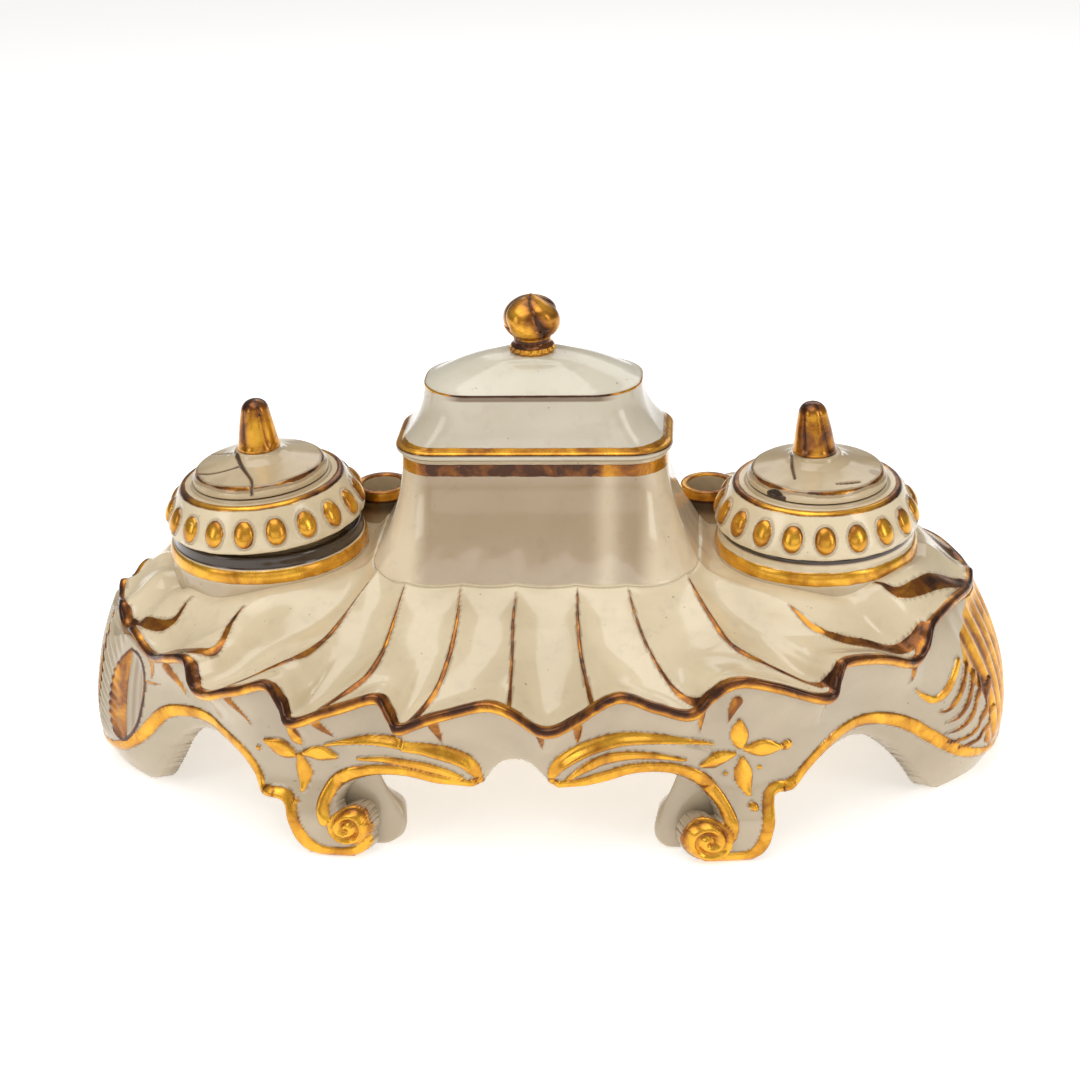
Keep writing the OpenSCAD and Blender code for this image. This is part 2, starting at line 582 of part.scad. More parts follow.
module collar(first) {
    rotate_extrude() polygon([
        [cup_r, brow_z], [cup_r, seat_z + collar_h * 0.42], [well_bore + 1, seat_z + 1.2], [well_bore + 1, seat_z],
        [collar_r - 0.6, seat_z], [collar_r, seat_z + 0.6], [collar_r, seat_z + collar_rise],
        [collar_r - 0.6, seat_z + collar_h * 0.25], boss_at, [collar_r - 3.1, seat_z + collar_h * 0.63],
        [collar_r - 4.9, pot_top - 2], [collar_r - 5.7, pot_top - 0.9], [collar_r - 6.4, pot_top - 0.5]]);
    for (k = [0 : bosses - 1]) rotate([0, 0, first + 360 * k / bosses])
        translate([boss_at[0], 0, boss_at[1]]) rotate([0, 90 - boss_lean, 0]) boss();
}

// The lid's plug drops into the pot's mouth
plug_r = mouth_r - plug_gap;
plug_wall = 2.6;
lid_edge_h = 2.6;
brow_h = lid_edge_h + 1.3;
crown_h = pot_lid_h - brow_h;
module pot_lid() translate([0, 0, pot_top]) rotate_extrude() polygon([
    [0, pot_lid_h], [finial_r + 0.3, pot_lid_h], [finial_r + 1.1, brow_h + crown_h * 0.7],
    [lid_r * 0.48, brow_h + crown_h * 0.45], [lid_r * 0.66, brow_h + crown_h * 0.24], [lid_r - 1.6, brow_h],
    [lid_r - 0.9, lid_edge_h], [lid_r, lid_edge_h - 0.8], [lid_r, 0], [plug_r, 0], [plug_r, -4.5],
    [plug_r - plug_wall, -4.5], [plug_r - plug_wall, 1], [0, 2.2]]);
module finial() translate([0, 0, pot_top + pot_lid_h]) rotate_extrude() polygon(concat(
    [[0, 0], [finial_r, 0], [finial_r * 0.97, finial_h * 0.12], [finial_r * 0.8, finial_h * 0.5],
     [finial_r * 0.66, finial_h * 0.78]],
    [for (t = [30 : 15 : 90]) [finial_r * 0.66 * cos(t), finial_h * (0.78 + 0.22 * sin(t))]]));

module right_side() translate([pot_x, 0, 0]) children();
// The left pot leans on the outer edge of its well
module left_side() translate([-pot_x - ring_r, 0, seat_z]) rotate([0, -left_tilt, 0])
    translate([ring_r, 0, -seat_z]) children();

module right_ink_pot() color(porcelain) right_side() cup();
module right_pot_collar() color(porcelain) right_side() collar(right_boss_a);
module right_pot_lid() color(porcelain) right_side() pot_lid();
module right_finial() color(gilt) right_side() finial();
module left_ink_pot() color(porcelain) left_side() cup();
module left_pot_collar() color(porcelain) left_side() collar(left_boss_a);
module left_pot_lid() color(porcelain) left_side() pot_lid();
module left_finial() color(gilt) left_side() finial();

fluted_tray();
rim_lip();
box_body();
left_well();
right_well();
left_quill_tube();
right_quill_tube();
front_apron();
rear_apron();
front_left_side_apron();
front_right_side_apron();
rear_left_side_apron();
rear_right_side_apron();
front_left_leg();
front_right_leg();
rear_left_leg();
rear_right_leg();
left_end_shell();
right_end_shell();
box_lid();
box_knob();
left_ink_pot();
left_pot_collar();
left_pot_lid();
left_finial();
right_ink_pot();
right_pot_collar();
right_pot_lid();
right_finial();
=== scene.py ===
import math

import bpy
import numpy as np
from mathutils import Matrix, Vector


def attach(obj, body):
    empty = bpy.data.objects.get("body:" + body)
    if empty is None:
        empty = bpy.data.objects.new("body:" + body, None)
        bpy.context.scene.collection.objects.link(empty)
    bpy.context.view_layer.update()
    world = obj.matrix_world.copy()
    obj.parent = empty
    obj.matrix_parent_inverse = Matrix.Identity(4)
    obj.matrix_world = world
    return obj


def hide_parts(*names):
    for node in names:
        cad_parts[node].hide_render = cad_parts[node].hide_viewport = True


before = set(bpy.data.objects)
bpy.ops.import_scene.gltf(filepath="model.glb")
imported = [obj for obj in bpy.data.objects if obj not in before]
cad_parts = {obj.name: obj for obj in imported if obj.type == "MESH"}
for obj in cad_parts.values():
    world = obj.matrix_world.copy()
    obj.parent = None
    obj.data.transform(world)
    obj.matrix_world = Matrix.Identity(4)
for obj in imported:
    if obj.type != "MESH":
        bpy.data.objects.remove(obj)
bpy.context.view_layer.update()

# ---- Sizes in millimetres, as in the part's source ----
RIM_FRONT, RIM_SIDE, RIM_END = 77.0, 110.0, 136.0
RIM_Z, RIM_RISE, DECK_Z, POT_DECK_Z = 51.0, 7.0, 70.0, 66.5
WALL = 4.5
APRON_INSET = 3.5
BOX_X, BOX_Y, BOX_R, BOX_TOP = 41.0, 18.7, 12.0, 103.0
FOOT_X, FOOT_Y, FOOT_R = 50.5, 36.2, 20.0
POT_X, WELL_R, WELL_BORE, SEAT_Z = 87.0, 31.7, 27.0, 75.5
WELL_DEEP = 38.0
TUBE_X, TUBE_Y, TUBE_R, TUBE_BORE = 53.5, 24.7, 9.0, 6.5
TUBE_TOP, TUBE_DEEP = 77.5, 42.0
COLLAR_R, COLLAR_H, CUP_R, CUP_DEEP, MOUTH_R = 31.5, 14.0, 23.2, 32.0, 14.5
LID_R, LID_H = 21.5, 9.2
LEFT_TILT = math.radians(3.2)
POT_TOP = SEAT_Z + COLLAR_H
BOX = (BOX_X, BOX_Y, BOX_R)
SHOULDER_Z, DOME_H = BOX_TOP + 20.5, 9.0
KNOB_R, KNOB_H, KNOB_Z = 9.2, 18.0, SHOULDER_Z + DOME_H * 0.93
FINIAL_R, FINIAL_H = 6.7, 16.0
LIP_H = 3.6
MM = 0.001

PLAN_POWER = 14  # how square the corners of the rim's hexagon are
CALM_RUN = 14  # the tray flattens over this width round a pot, in mm
FOOT_DIP, DIP_RUN = 14, 0.08  # how the tray falls away from the box's foot
FLUTE_DEPTH, FLUTE_RATIO = 3.0, 0.105  # greatest depth, and depth for each mm of width
RIM_SWING = 2.2  # how far a scallop swings in or out, in mm
NOT_GILT = -2.0  # gilt value of bare glaze, in mm outside the gilding
EDGE = -0.15  # a stroke's age reaches this far outside its gilding, in mm
SIDES = ((1, "right"), (-1, "left"))


# ---- Small helpers ----
def ease(t):
    c = np.clip(t, 0, 1)
    return c * c * (3 - 2 * c)


def cat(*parts):
    return np.concatenate(parts, axis=-1)


def smooth_line(points, n=8):
    """Dense Catmull-Rom line through rows of numbers."""
    p = np.array(points, float)
    p = np.vstack([2 * p[0] - p[1], p, 2 * p[-1] - p[-2]])
    t = np.linspace(0, 1, n, endpoint=False)[:, None]
    out = []
    for a, b, c, d in zip(p[:-3], p[1:-2], p[2:-1], p[3:]):
        square, cube = 2 * a - 5 * b + 4 * c - d, 3 * b - a - 3 * c + d
        out.append(0.5 * (2 * b + (c - a) * t + square * t**2 + cube * t**3))
    out.append(p[-2:-1])
    return np.vstack(out)


def stroke(q, points, n=8, margin=3.0):
    """For points q (..., 2): how far inside a brush stroke they lie, in mm, and its half width there.

    Each point of the stroke is x, y, half width.
    """
    line = smooth_line(points, n)
    flat = q.reshape(-1, 2)
    inside = np.full(len(flat), -9.0)
    half = np.full(len(flat), 1.0)
    lo = line[:, :2].min(0) - line[:, 2].max() - margin
    hi = line[:, :2].max(0) + line[:, 2].max() + margin
    near = np.where(((flat > lo) & (flat < hi)).all(1))[0]
    if len(near):
        p = flat[near]
        best = np.full(len(near), -9.0)
        wide = np.full(len(near), 1.0)
        for a, b in zip(line[:-1], line[1:]):
            d = b[:2] - a[:2]
            t = np.clip(((p - a[:2]) @ d) / max(d @ d, 1e-9), 0, 1)
            w = a[2] + (b[2] - a[2]) * t
            r = w - np.linalg.norm(p - a[:2] - t[:, None] * d, axis=1)
            take = r > best
            best[take], wide[take] = r[take], w[take]
        inside[near], half[near] = best, wide
    return inside.reshape(q.shape[:-1]), half.reshape(q.shape[:-1])


def bead(inside, half):
    """Height, 0 to 1, of a rounded bead over a stroke."""
    t = 1 - np.clip(inside, 0, None) / np.maximum(half, 1e-3)
    return np.where(inside > 0, np.sqrt(np.clip(1 - t * t, 0, 1)), 0)


def inside_polygon(q, line):
    """Signed distance in mm of points q (..., 2) to a closed line, positive inside."""
    flat = q.reshape(-1, 2)
    nxt = np.roll(line, -1, axis=0)
    dist = np.full(len(flat), 1e9)
    odd = np.zeros(len(flat), bool)
    for a, b in zip(line, nxt):
        d = b - a
        if d @ d < 1e-12:
            continue
        t = np.clip(((flat - a) @ d) / (d @ d), 0, 1)
        dist = np.minimum(dist, np.linalg.norm(flat - a - t[:, None] * d, axis=1))
        cross = (a[1] > flat[:, 1]) != (b[1] > flat[:, 1])
        if cross.any():
            x = a[0] + (flat[:, 1] - a[1]) * (b[0] - a[0]) / (b[1] - a[1] if b[1] != a[1] else 1e-9)
            odd ^= cross & (flat[:, 0] < x)
    return np.where(odd, dist, -dist).reshape(q.shape[:-1])


# ---- Meshes ----
def add_piece(name, verts, faces, body, material, gilt=None, wear_and_shade=None, nodes=(),
              seam=(), side=0):
    """Mesh piece from points in mm, in place of the nodes given, or of the one with its name.

    gilt is the signed distance inside the gilding. The wear and shade value is 0 for clean glaze,
    1 for brown and more for near black: it paints wear, cracks, painted shade and painted shadow.
    The edges between points of the seam are sharp.
    """
    verts = np.asarray(verts, float)
    if side:
        verts = seat_pot(verts, side)
    mesh = bpy.data.meshes.new(name)
    mesh.from_pydata((verts * MM).tolist(), [], faces)
    for label, values, default in (("gilt", gilt, NOT_GILT), ("wear_and_shade", wear_and_shade, 0.0)):
        if values is None:
            values = np.full(len(verts), default)
        layer = mesh.attributes.new(label, "FLOAT", "POINT")
        layer.data.foreach_set("value", np.asarray(values, np.float32).ravel())
    mesh.update()
    mesh.shade_smooth()
    if len(seam):
        marked = np.zeros(len(verts), bool)
        marked[seam] = True
        ends = np.zeros(len(mesh.edges) * 2, np.int32)
        mesh.edges.foreach_get("vertices", ends)
        ends = ends.reshape(-1, 2)
        layer = mesh.attributes.new("sharp_edge", "BOOLEAN", "EDGE")
        layer.data.foreach_set("value", (marked[ends[:, 0]] & marked[ends[:, 1]]))
    obj = bpy.data.objects.new(name, mesh)
    bpy.context.scene.collection.objects.link(obj)
    mesh.materials.append(material)
    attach(obj, body)
    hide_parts(*(nodes or [name]))


def slab(front, back, keep, wrap=False):
    """Closed solid between two grids of points (m, n, 3); keep marks the cells that stay.

    Returns points, faces, and the index of the points used, front points first.
    """
    m, n = front.shape[:2]
    idx = np.arange(m * n).reshape(m, n)
    r, c = np.meshgrid(np.arange(m - 1), np.arange(n if wrap else n - 1), indexing="ij")
    c1 = (c + 1) % n
    quads = np.stack([idx[r, c], idx[r, c1], idx[r + 1, c1], idx[r + 1, c]], -1)[keep]
    a = quads.reshape(-1)
    b = quads[:, [1, 2, 3, 0]].reshape(-1)
    key = np.minimum(a, b).astype(np.int64) * (m * n) + np.maximum(a, b)
    _, first, count = np.unique(key, return_index=True, return_counts=True)
    edge = first[count == 1]
    a, b = a[edge], b[edge]
    total = m * n
    faces = np.vstack([quads, quads[:, ::-1] + total, np.stack([b, a, a + total, b + total], -1)])
    used = np.unique(faces)
    new = np.full(2 * total, -1)
    new[used] = np.arange(len(used))
    points = np.vstack([front.reshape(-1, 3), back.reshape(-1, 3)])[used]
    return points, new[faces].tolist(), used


def layer_values(used, front_values, back_value):
    """Values of a slab's points: the front grid's own, and one value for the back."""
    flat = np.concatenate([front_values.ravel(), np.full(front_values.size, back_value)])
    return flat[used]


def seat_pot(points, side):
    """Puts a pot's points, drawn round the Z axis, in its well; the left one leans on its edge."""
    p = points.copy()
    if side > 0:
        p[:, 0] += POT_X
        return p
    ring = WELL_R - 1.6
    x, z = p[:, 0] + ring, p[:, 2] - SEAT_Z
    c, s = math.cos(-LEFT_TILT), math.sin(-LEFT_TILT)
    p[:, 0] = x * c + z * s - POT_X - ring
    p[:, 2] = -x * s + z * c + SEAT_Z
    return p


def divided(profile, pitch):
    """Profile with points added, so that no step of it is longer than pitch."""
    line = np.array(profile, float)
    out = [line[0]]
    for a, b in zip(line[:-1], line[1:]):
        k = max(1, int(math.ceil(np.linalg.norm(b - a) / pitch)))
        out += [a + (b - a) * (i + 1) / k for i in range(k)]
    return np.array(out)


def turned(profile, n, pitch, ripple=None):
    """Closed solid of revolution from r, z rows that start on the axis below and end on it above.

    Returns points, faces, and the radius, height and angle of every point.
    """
    line = divided(profile, pitch)
    angle = np.arange(n) * 2 * math.pi / n
    ring = line[1:-1]
    r = np.repeat(ring[:, :1], n, 1)
    z = np.repeat(ring[:, 1:], n, 1)
    a = np.repeat(angle[None, :], len(ring), 0)
    if ripple:
        r, z = ripple(r, z, a)
    pts = np.stack([r * np.cos(a), r * np.sin(a), z], -1).reshape(-1, 3)
    m = len(ring)
    idx = np.arange(m * n).reshape(m, n)
    nxt = np.roll(idx, -1, axis=1)
    faces = np.stack([idx[:-1], nxt[:-1], nxt[1:], idx[1:]], -1).reshape(-1, 4).tolist()
    low, top = len(pts), len(pts) + 1
    pts = np.vstack([pts, [0, 0, line[0][1]], [0, 0, line[-1][1]]])
    faces += [[low, int(nxt[0, j]), int(idx[0, j])] for j in range(n)]
    faces += [[top, int(idx[-1, j]), int(nxt[-1, j])] for j in range(n)]
    rr = np.concatenate([r.ravel(), [0, 0]])
    zz = np.concatenate([z.ravel(), [line[0][1], line[-1][1]]])
    aa = np.concatenate([a.ravel(), [0, 0]])
    return pts, faces, rr, zz, aa


def rounded(points, radius=0.5, steps=3):
    """Profile with its inner corners cut to small arcs."""
    p = np.array(points, float)
    out = [p[0]]
    for a, b, c in zip(p[:-2], p[1:-1], p[2:]):
        u, v = a - b, c - b
        lu, lv = np.linalg.norm(u), np.linalg.norm(v)
        k = min(radius, lu * 0.45, lv * 0.45)
        s, e = b + u / lu * k, b + v / lv * k
        for t in np.linspace(0, 1, steps + 1):
            out.append((1 - t) ** 2 * s + 2 * t * (1 - t) * b + t * t * e)
    out.append(p[-1])
    return out


# ---- Plan of the rim and the tray's surface ----
def heading(a):
    return np.stack([np.sin(a), -np.cos(a)], -1)


def outline(a, inset=0.0):
    """Point of the rim's plan in direction a, in radians from the front towards +X."""
    c, s = np.abs(np.cos(a)), np.abs(np.sin(a))
    k = (
        (c / (RIM_FRONT - inset)) ** PLAN_POWER
        + (s / (RIM_END - inset)) ** PLAN_POWER
        + ((c + s) * math.sqrt(0.5) / (RIM_SIDE - inset)) ** PLAN_POWER
    ) ** (-1 / PLAN_POWER)
    return k[..., None] * heading(a)


TABLE_A = np.radians(np.arange(0, 360.1, 0.5))
_rim = outline(TABLE_A)
TABLE_S = np.concatenate([[0], np.cumsum(np.linalg.norm(np.diff(_rim, axis=0), axis=1))])
RIM_LEN = TABLE_S[-1]
HALF = RIM_LEN / 2
QUARTER = RIM_LEN / 4


def direction(s):
    """Direction of the point s mm along the rim from the middle of the front."""
    return np.interp(np.mod(s, RIM_LEN), TABLE_S, TABLE_A)


def front_s(s):
    """The same place on the front half: the rear mirrors the front. Runs from -QUARTER to QUARTER."""
    w = np.mod(s + HALF, RIM_LEN) - HALF
    return np.where(w > QUARTER, HALF - w, np.where(w < -QUARTER, -HALF - w, w))


def round_rect(a, hx, hy, r):
    s, c = np.abs(np.sin(a)), np.abs(np.cos(a))
    t_end, t_side = hx / np.maximum(s, 1e-3), hy / np.maximum(c, 1e-3)
    k = (hx - r) * s + (hy - r) * c
    m = (hx - r) ** 2 + (hy - r) ** 2 - r * r
    corner = k + np.sqrt(np.maximum(0, k * k - m))
    t = np.where(t_end * c <= hy - r, t_end, np.where(t_side * s <= hx - r, t_side, corner))
    return t[..., None] * heading(a)


def rim_base(a):
    return RIM_Z + RIM_RISE * ease((np.abs(np.sin(a)) - 0.7) / 0.3)


def near_pot(p):
    d = np.hypot(np.abs(p[..., 0]) - POT_X, p[..., 1])
    return 1 - ease((d - WELL_R - 1) / CALM_RUN)


def plain(s, v):
    """Tray without flutes or scallops: v runs from the foot of the box to the rim."""
    a = direction(s)
    foot = round_rect(a + np.radians(10) * np.sin(2 * a), FOOT_X, FOOT_Y, FOOT_R)
    p = foot * (1 - v)[..., None] + outline(a) * v[..., None]
    z = rim_base(a) + (DECK_Z - rim_base(a)) * (1 - v) ** 1.25 - FOOT_DIP * v * np.exp(-v / DIP_RUN)
    k = near_pot(p) * ease(v / 0.06)
    return cat(p, (z * (1 - k) + POT_DECK_Z * k)[..., None])


# Scallops: place along the rim and height of each low and high
RIM_KNOTS = [
    (-175.5, 55), (-166, 51.5), (-157, 54), (-150, 48.5), (-142, 51.5), (-128, 48.5), (-110, 55),
    (-101.4, 47.5), (-87.4, 52.3), (-76.6, 57), (-69.8, 52), (-65.8, 47.3), (-53.4, 51.7),
    (-42.6, 55.2), (-37.6, 50), (-34.2, 46.3), (-24.2, 50.2), (-11, 53.3), (-2.6, 50.7), (6.6, 46.2),
    (16.6, 50), (28.2, 56), (38.2, 53.4), (48.2, 51), (55, 56), (63.8, 60.3), (75.4, 57.3),
    (88.6, 51.3), (93.4, 56), (98.2, 59.3), (111.4, 56.3), (123.4, 50.4), (129, 53),
    (135.4, 58.3), (148.6, 60.3), (163.8, 58), (175.5, 59),
]
_rim_line = smooth_line(RIM_KNOTS, 10)


def rim_height(s):
    return np.interp(front_s(s), _rim_line[:, 0], _rim_line[:, 1])


def rim_swing(s):
    """1 where a scallop swings out and down, -1 where it swings in and up."""
    return np.clip((rim_base(direction(s)) + 1.5 - rim_height(s)) / 6.0, -1, 1)


def rim_climb(s):
    """How steeply the scallop climbs, going away from the middle of the front."""
    f = front_s(s)
    side = np.sign(f - 1e-6)
    step = 1.5
    return side * (
        np.interp(f + step, _rim_line[:, 0], _rim_line[:, 1])
        - np.interp(f - step, _rim_line[:, 0], _rim_line[:, 1])
    ) / (2 * step)


# Arrises between the flutes: place along the rim at five steps from the box to the rim
ARRIS_V = [0, 0.25, 0.5, 0.75, 1]
ARRISES = [
    (-163, -163, -163, -163, -168),
    (-137, -137, -137, -137, -150),
    (-114, -114, -115, -112.5, -122),
    (-87, -80, -77, -78.5, -90),
    (-59, -54.2, -50.8, -50.8, -58),
    (-32.2, -28.9, -27.1, -27.3, -31),
    (-6.8, -6.2, -5, -4.2, -3.6),
    (21.8, 20.2, 19.4, 19.8, 20.3),
    (44.6, 43.7, 43.6, 45.2, 51),
    (82, 77.3, 74.7, 79.5, 92),
    (107, 107, 107.4, 107.5, 132),
    (136, 136, 136, 137, 162),
]


def flute_drop(s, v):
    """Depth of the flutes at s, v, in mm."""
    f = front_s(s)
    edges = np.stack(
        [np.full(v.shape, -QUARTER)]
        + [np.interp(v, ARRIS_V, row) for row in ARRISES]
        + [np.full(v.shape, QUARTER)]
    )
    drop = np.zeros(v.shape)
    for lo, hi in zip(edges[:-1], edges[1:]):
        t = (f - lo) / np.maximum(hi - lo, 1e-6)
        hit = (t >= 0) & (t <= 1)
        depth = np.minimum(FLUTE_DEPTH, FLUTE_RATIO * (hi - lo))
        drop = np.where(hit, depth * 4 * t * (1 - t), drop)
    return drop


def flute_start(v):
    """The flutes begin on the box's foot and are full a little way out."""
    return ease((v + 0.1) / 0.28)


def tray_top(s, v):
    """Upper surface of the tray at s, v: v is 0 at the box's foot and 1 at the rim."""
    q = plain(s, v)
    h = heading(direction(s))
    calm = 1 - near_pot(q)
    w = ease((v - 0.4) / 0.6)
    lift = rim_height(s) - rim_base(direction(s))
    swing = RIM_SWING * rim_swing(s) * w
    flutes = flute_drop(s, v) * flute_start(v) * calm * (1 - 0.75 * ease((v - 0.8) / 0.2))
    return cat(q[..., :2] + h * swing[..., None], (q[..., 2] + lift * w - flutes)[..., None])


# Gilt lines on the arrises and gilt folds by the pots: s, v and half width in mm
TRAY_LINES = [
    [(-6.6, 0.05, 0.25), (-6.2, 0.27, 0.5), (-5, 0.51, 0.5), (-4.2, 0.75, 0.55), (-3.6, 0.98, 0.7)],
    [(-32.2, 0.03, 0.3), (-28.9, 0.27, 0.55), (-27.1, 0.53, 0.75), (-27.4, 0.8, 0.9), (-31, 0.99, 1.5)],
    [(-59, 0.03, 0.35), (-54, 0.28, 0.55), (-50.8, 0.54, 0.8), (-50.8, 0.78, 1.0), (-58, 0.98, 1.4)],
    [(-86, 0.08, 0.3), (-79, 0.33, 0.6), (-76.8, 0.58, 0.9), (-78.5, 0.75, 1.1), (-90, 0.97, 1.3)],
    [
        (-115.4, 0.66, 0.3), (-112.5, 0.76, 0.9), (-108.5, 0.87, 1.3), (-112, 0.95, 1.8),
        (-122, 0.99, 1.8),
    ],
    [(-137, 0.78, 0.3), (-134.5, 0.87, 0.8), (-139.4, 0.94, 1.5), (-150, 0.99, 1.8)],
    [(21.8, 0.03, 0.25), (20.2, 0.25, 0.5), (19.4, 0.5, 0.6), (19.8, 0.75, 0.6), (20.3, 0.97, 0.75)],
    [
        (44.6, 0.03, 0.3), (43.7, 0.2, 0.4), (43.5, 0.42, 0.45), (44.6, 0.65, 0.6), (47, 0.84, 0.9),
        (51, 0.98, 1.3),
    ],
    [
        (82, 0.03, 0.3), (78, 0.18, 0.6), (75, 0.45, 0.8), (76.5, 0.66, 0.9), (82, 0.8, 1.1),
        (92, 0.97, 1.4),
    ],
    [
        (107.4, 0.54, 0.3), (106.2, 0.65, 0.7), (107, 0.74, 1.0), (111.4, 0.83, 1.3),
        (119, 0.89, 1.7), (132, 0.98, 1.9),
    ],
    [(136, 0.76, 0.4), (136.4, 0.85, 1.2), (144, 0.9, 2.0), (156, 0.94, 2.4), (164, 0.99, 2.2)],
]


# ---- Materials ----
class Net:
    """Node tree of a material or a world, with calls that add its nodes."""

    def __init__(self, owner):
        owner.use_nodes = True
        self.nodes, self.links = owner.node_tree.nodes, owner.node_tree.links
        self.nodes.clear()

    def add(self, kind, inputs=None, **settings):
        """New node. An input is a number, a colour or another node's output."""
        node = self.nodes.new("ShaderNode" + kind)
        for key, value in settings.items():
            setattr(node, key, value)
        for key, value in (inputs or {}).items():
            if isinstance(value, bpy.types.NodeSocket):
                self.links.new(value, node.inputs[key])
            else:
                node.inputs[key].default_value = (*value, 1) if isinstance(value, tuple) else value
        return node

    def noise(self, vector, scale, detail=3.0, rough=0.5, distortion=0.0):
        inputs = {"Scale": scale, "Detail": detail, "Roughness": rough, "Distortion": distortion}
        return self.add("TexNoise", {"Vector": vector, **inputs}).outputs["Fac"]

    def calc(self, op, a, b, clamp=False):
        return self.add("Math", {0: a, 1: b}, operation=op, use_clamp=clamp).outputs[0]

    def fade(self, value, lo, hi, top=1.0):
        """0 where value is at lo, up to "top" where it is at hi."""
        inputs = {"Value": value, "From Min": lo, "From Max": hi, "To Max": top}
        return self.add("MapRange", inputs).outputs[0]

    def mix(self, fac, a, b):
        """Mix of two colours, whose sockets are 6 and 7, and 2 on the way out."""
        return self.add("Mix", {0: fac, 6: a, 7: b}, data_type="RGBA").outputs[2]

    def ramp(self, fac, stops):
        node = self.add("ValToRGB", {0: fac})
        while len(node.color_ramp.elements) < len(stops):
            node.color_ramp.elements.new(0.5)
        for e, (at, colour) in zip(node.color_ramp.elements, stops):
            e.position = at
            e.color = (*colour, 1)
        return node.outputs[0]


PATCH_BROWN, SPECK_BROWN = (0.40, 0.33, 0.25), (0.16, 0.10, 0.06)
# Brown for wear and painted shade, near black for cracks and painted shadow
WEAR_AND_SHADE_BROWN, NEAR_BLACK = (0.20, 0.10, 0.035), (0.035, 0.02, 0.011)
# From bright orange gold to dark brown, for worn gilding and for painted shade where it lies deep
GOLD = [
    (0.0, (0.88, 0.46, 0.035)), (0.35, (0.62, 0.27, 0.016)), (0.7, (0.27, 0.085, 0.008)),
    (1.0, (0.06, 0.018, 0.005)),
]


def glazed(name, light, dark, brown=0.0):
    """Glazed porcelain with hand-painted gilding where the mesh's gilt value is above zero."""
    material = bpy.data.materials.new(name)
    net = Net(material)
    calc, mix, fade = net.calc, net.mix, net.fade
    place = net.add("TexCoord").outputs["Object"]
    gilt = net.add("Attribute", attribute_name="gilt").outputs["Fac"]
    wear_and_shade = net.add("Attribute", attribute_name="wear_and_shade").outputs["Fac"]

    # Porcelain: cloudy warm glaze with darker patches and specks, turned brown, then near black, by
    # wear, cracks and painted shade or shadow
    body = mix(fade(net.noise(place, 28, 4, 0.55, 0.4), 0.36, 0.66), light, dark)
    fine = net.noise(place, 190, 3, 0.6)
    body = mix(fade(fine, 0.55, 0.8, 0.22), body, PATCH_BROWN)
    speck = fade(net.noise(place, 620, 1.5, 0.4), 0.765, 0.80, 0.55)
    body = mix(speck, body, SPECK_BROWN)
    body = mix(calc("MULTIPLY", wear_and_shade, 0.75), body, WEAR_AND_SHADE_BROWN)
    deep = calc("MULTIPLY", calc("SUBTRACT", wear_and_shade, 1.0), 3.2, True)
    body = mix(deep, body, NEAR_BLACK)

    # Gilding: its tone, browned by wear and painted shade, its brushed edge and the spots where it has
    # worn off
    tone = net.noise(place, 120, 4, 0.6, 0.6)
    worn = calc("MULTIPLY", calc("SUBTRACT", tone, 0.44), 1.7 + brown)
    gold = net.ramp(calc("ADD", wear_and_shade, worn, True), GOLD)
    wobble = net.noise(place, 330, 2, 0.5)
    edge = calc("ADD", gilt, calc("MULTIPLY", calc("SUBTRACT", wobble, 0.5), 0.5))
    keep = fade(net.noise(place, 260, 3, 0.65), 0.22, 0.27)
    mask = calc("MULTIPLY", calc("MULTIPLY", edge, 5.0, True), keep, True)
    rough = calc("ADD", calc("MULTIPLY", fine, 0.12), 0.10)
    rough_gold = calc("ADD", calc("MULTIPLY", tone, 0.25), 0.14)
    roughness = net.add("Mix", {0: mask, 2: rough, 3: rough_gold}, data_type="FLOAT").outputs[0]

    # Relief: glaze ripples, fine pits and the gilding's own thickness
    wave = net.noise(place, 75, 2, 0.5)
    height = calc("ADD", calc("MULTIPLY", wave, 1.2), calc("MULTIPLY", fine, 0.12))
    height = calc("ADD", height, calc("MULTIPLY", mask, 0.35))
    height = calc("ADD", height, calc("MULTIPLY", speck, -0.25))
    bump = net.add("Bump", {"Strength": 0.35, "Distance": 0.0004, "Height": height}).outputs[0]
    shader = net.add("BsdfPrincipled", {
        "Base Color": mix(mask, body, gold), "Metallic": calc("MULTIPLY", mask, 0.8),
        "Roughness": roughness, "IOR": 1.52, "Coat Weight": 0.35, "Coat Roughness": 0.06,
        "Normal": bump, "Coat Normal": bump,
    })
    net.add("OutputMaterial", {"Surface": shader.outputs[0]})
    return material


GLAZE = glazed("porcelain_glaze", (0.83, 0.70, 0.48), (0.69, 0.57, 0.375))
# A lighter copy of the same glaze for the box body: painted light
BOX_GLAZE_PAINTED_LIGHT = glazed("porcelain_box_painted_light", (0.92, 0.785, 0.57), (0.80, 0.665, 0.46))
# A darker copy of the same glaze for the apron, legs and end shells: painted shade
APRON_GLAZE_PAINTED_SHADE = glazed("porcelain_apron_painted_shade", (0.57, 0.475, 0.335), (0.48, 0.39, 0.275))
LID_GLAZE = glazed("porcelain_lid", (0.785, 0.74, 0.615), (0.685, 0.63, 0.49))
CRAZED = glazed("porcelain_stained", (0.68, 0.555, 0.36), (0.53, 0.405, 0.235), 0.6)
GILDING = glazed("gilded_porcelain", (0.76, 0.635, 0.42), (0.62, 0.50, 0.32), 0.4)


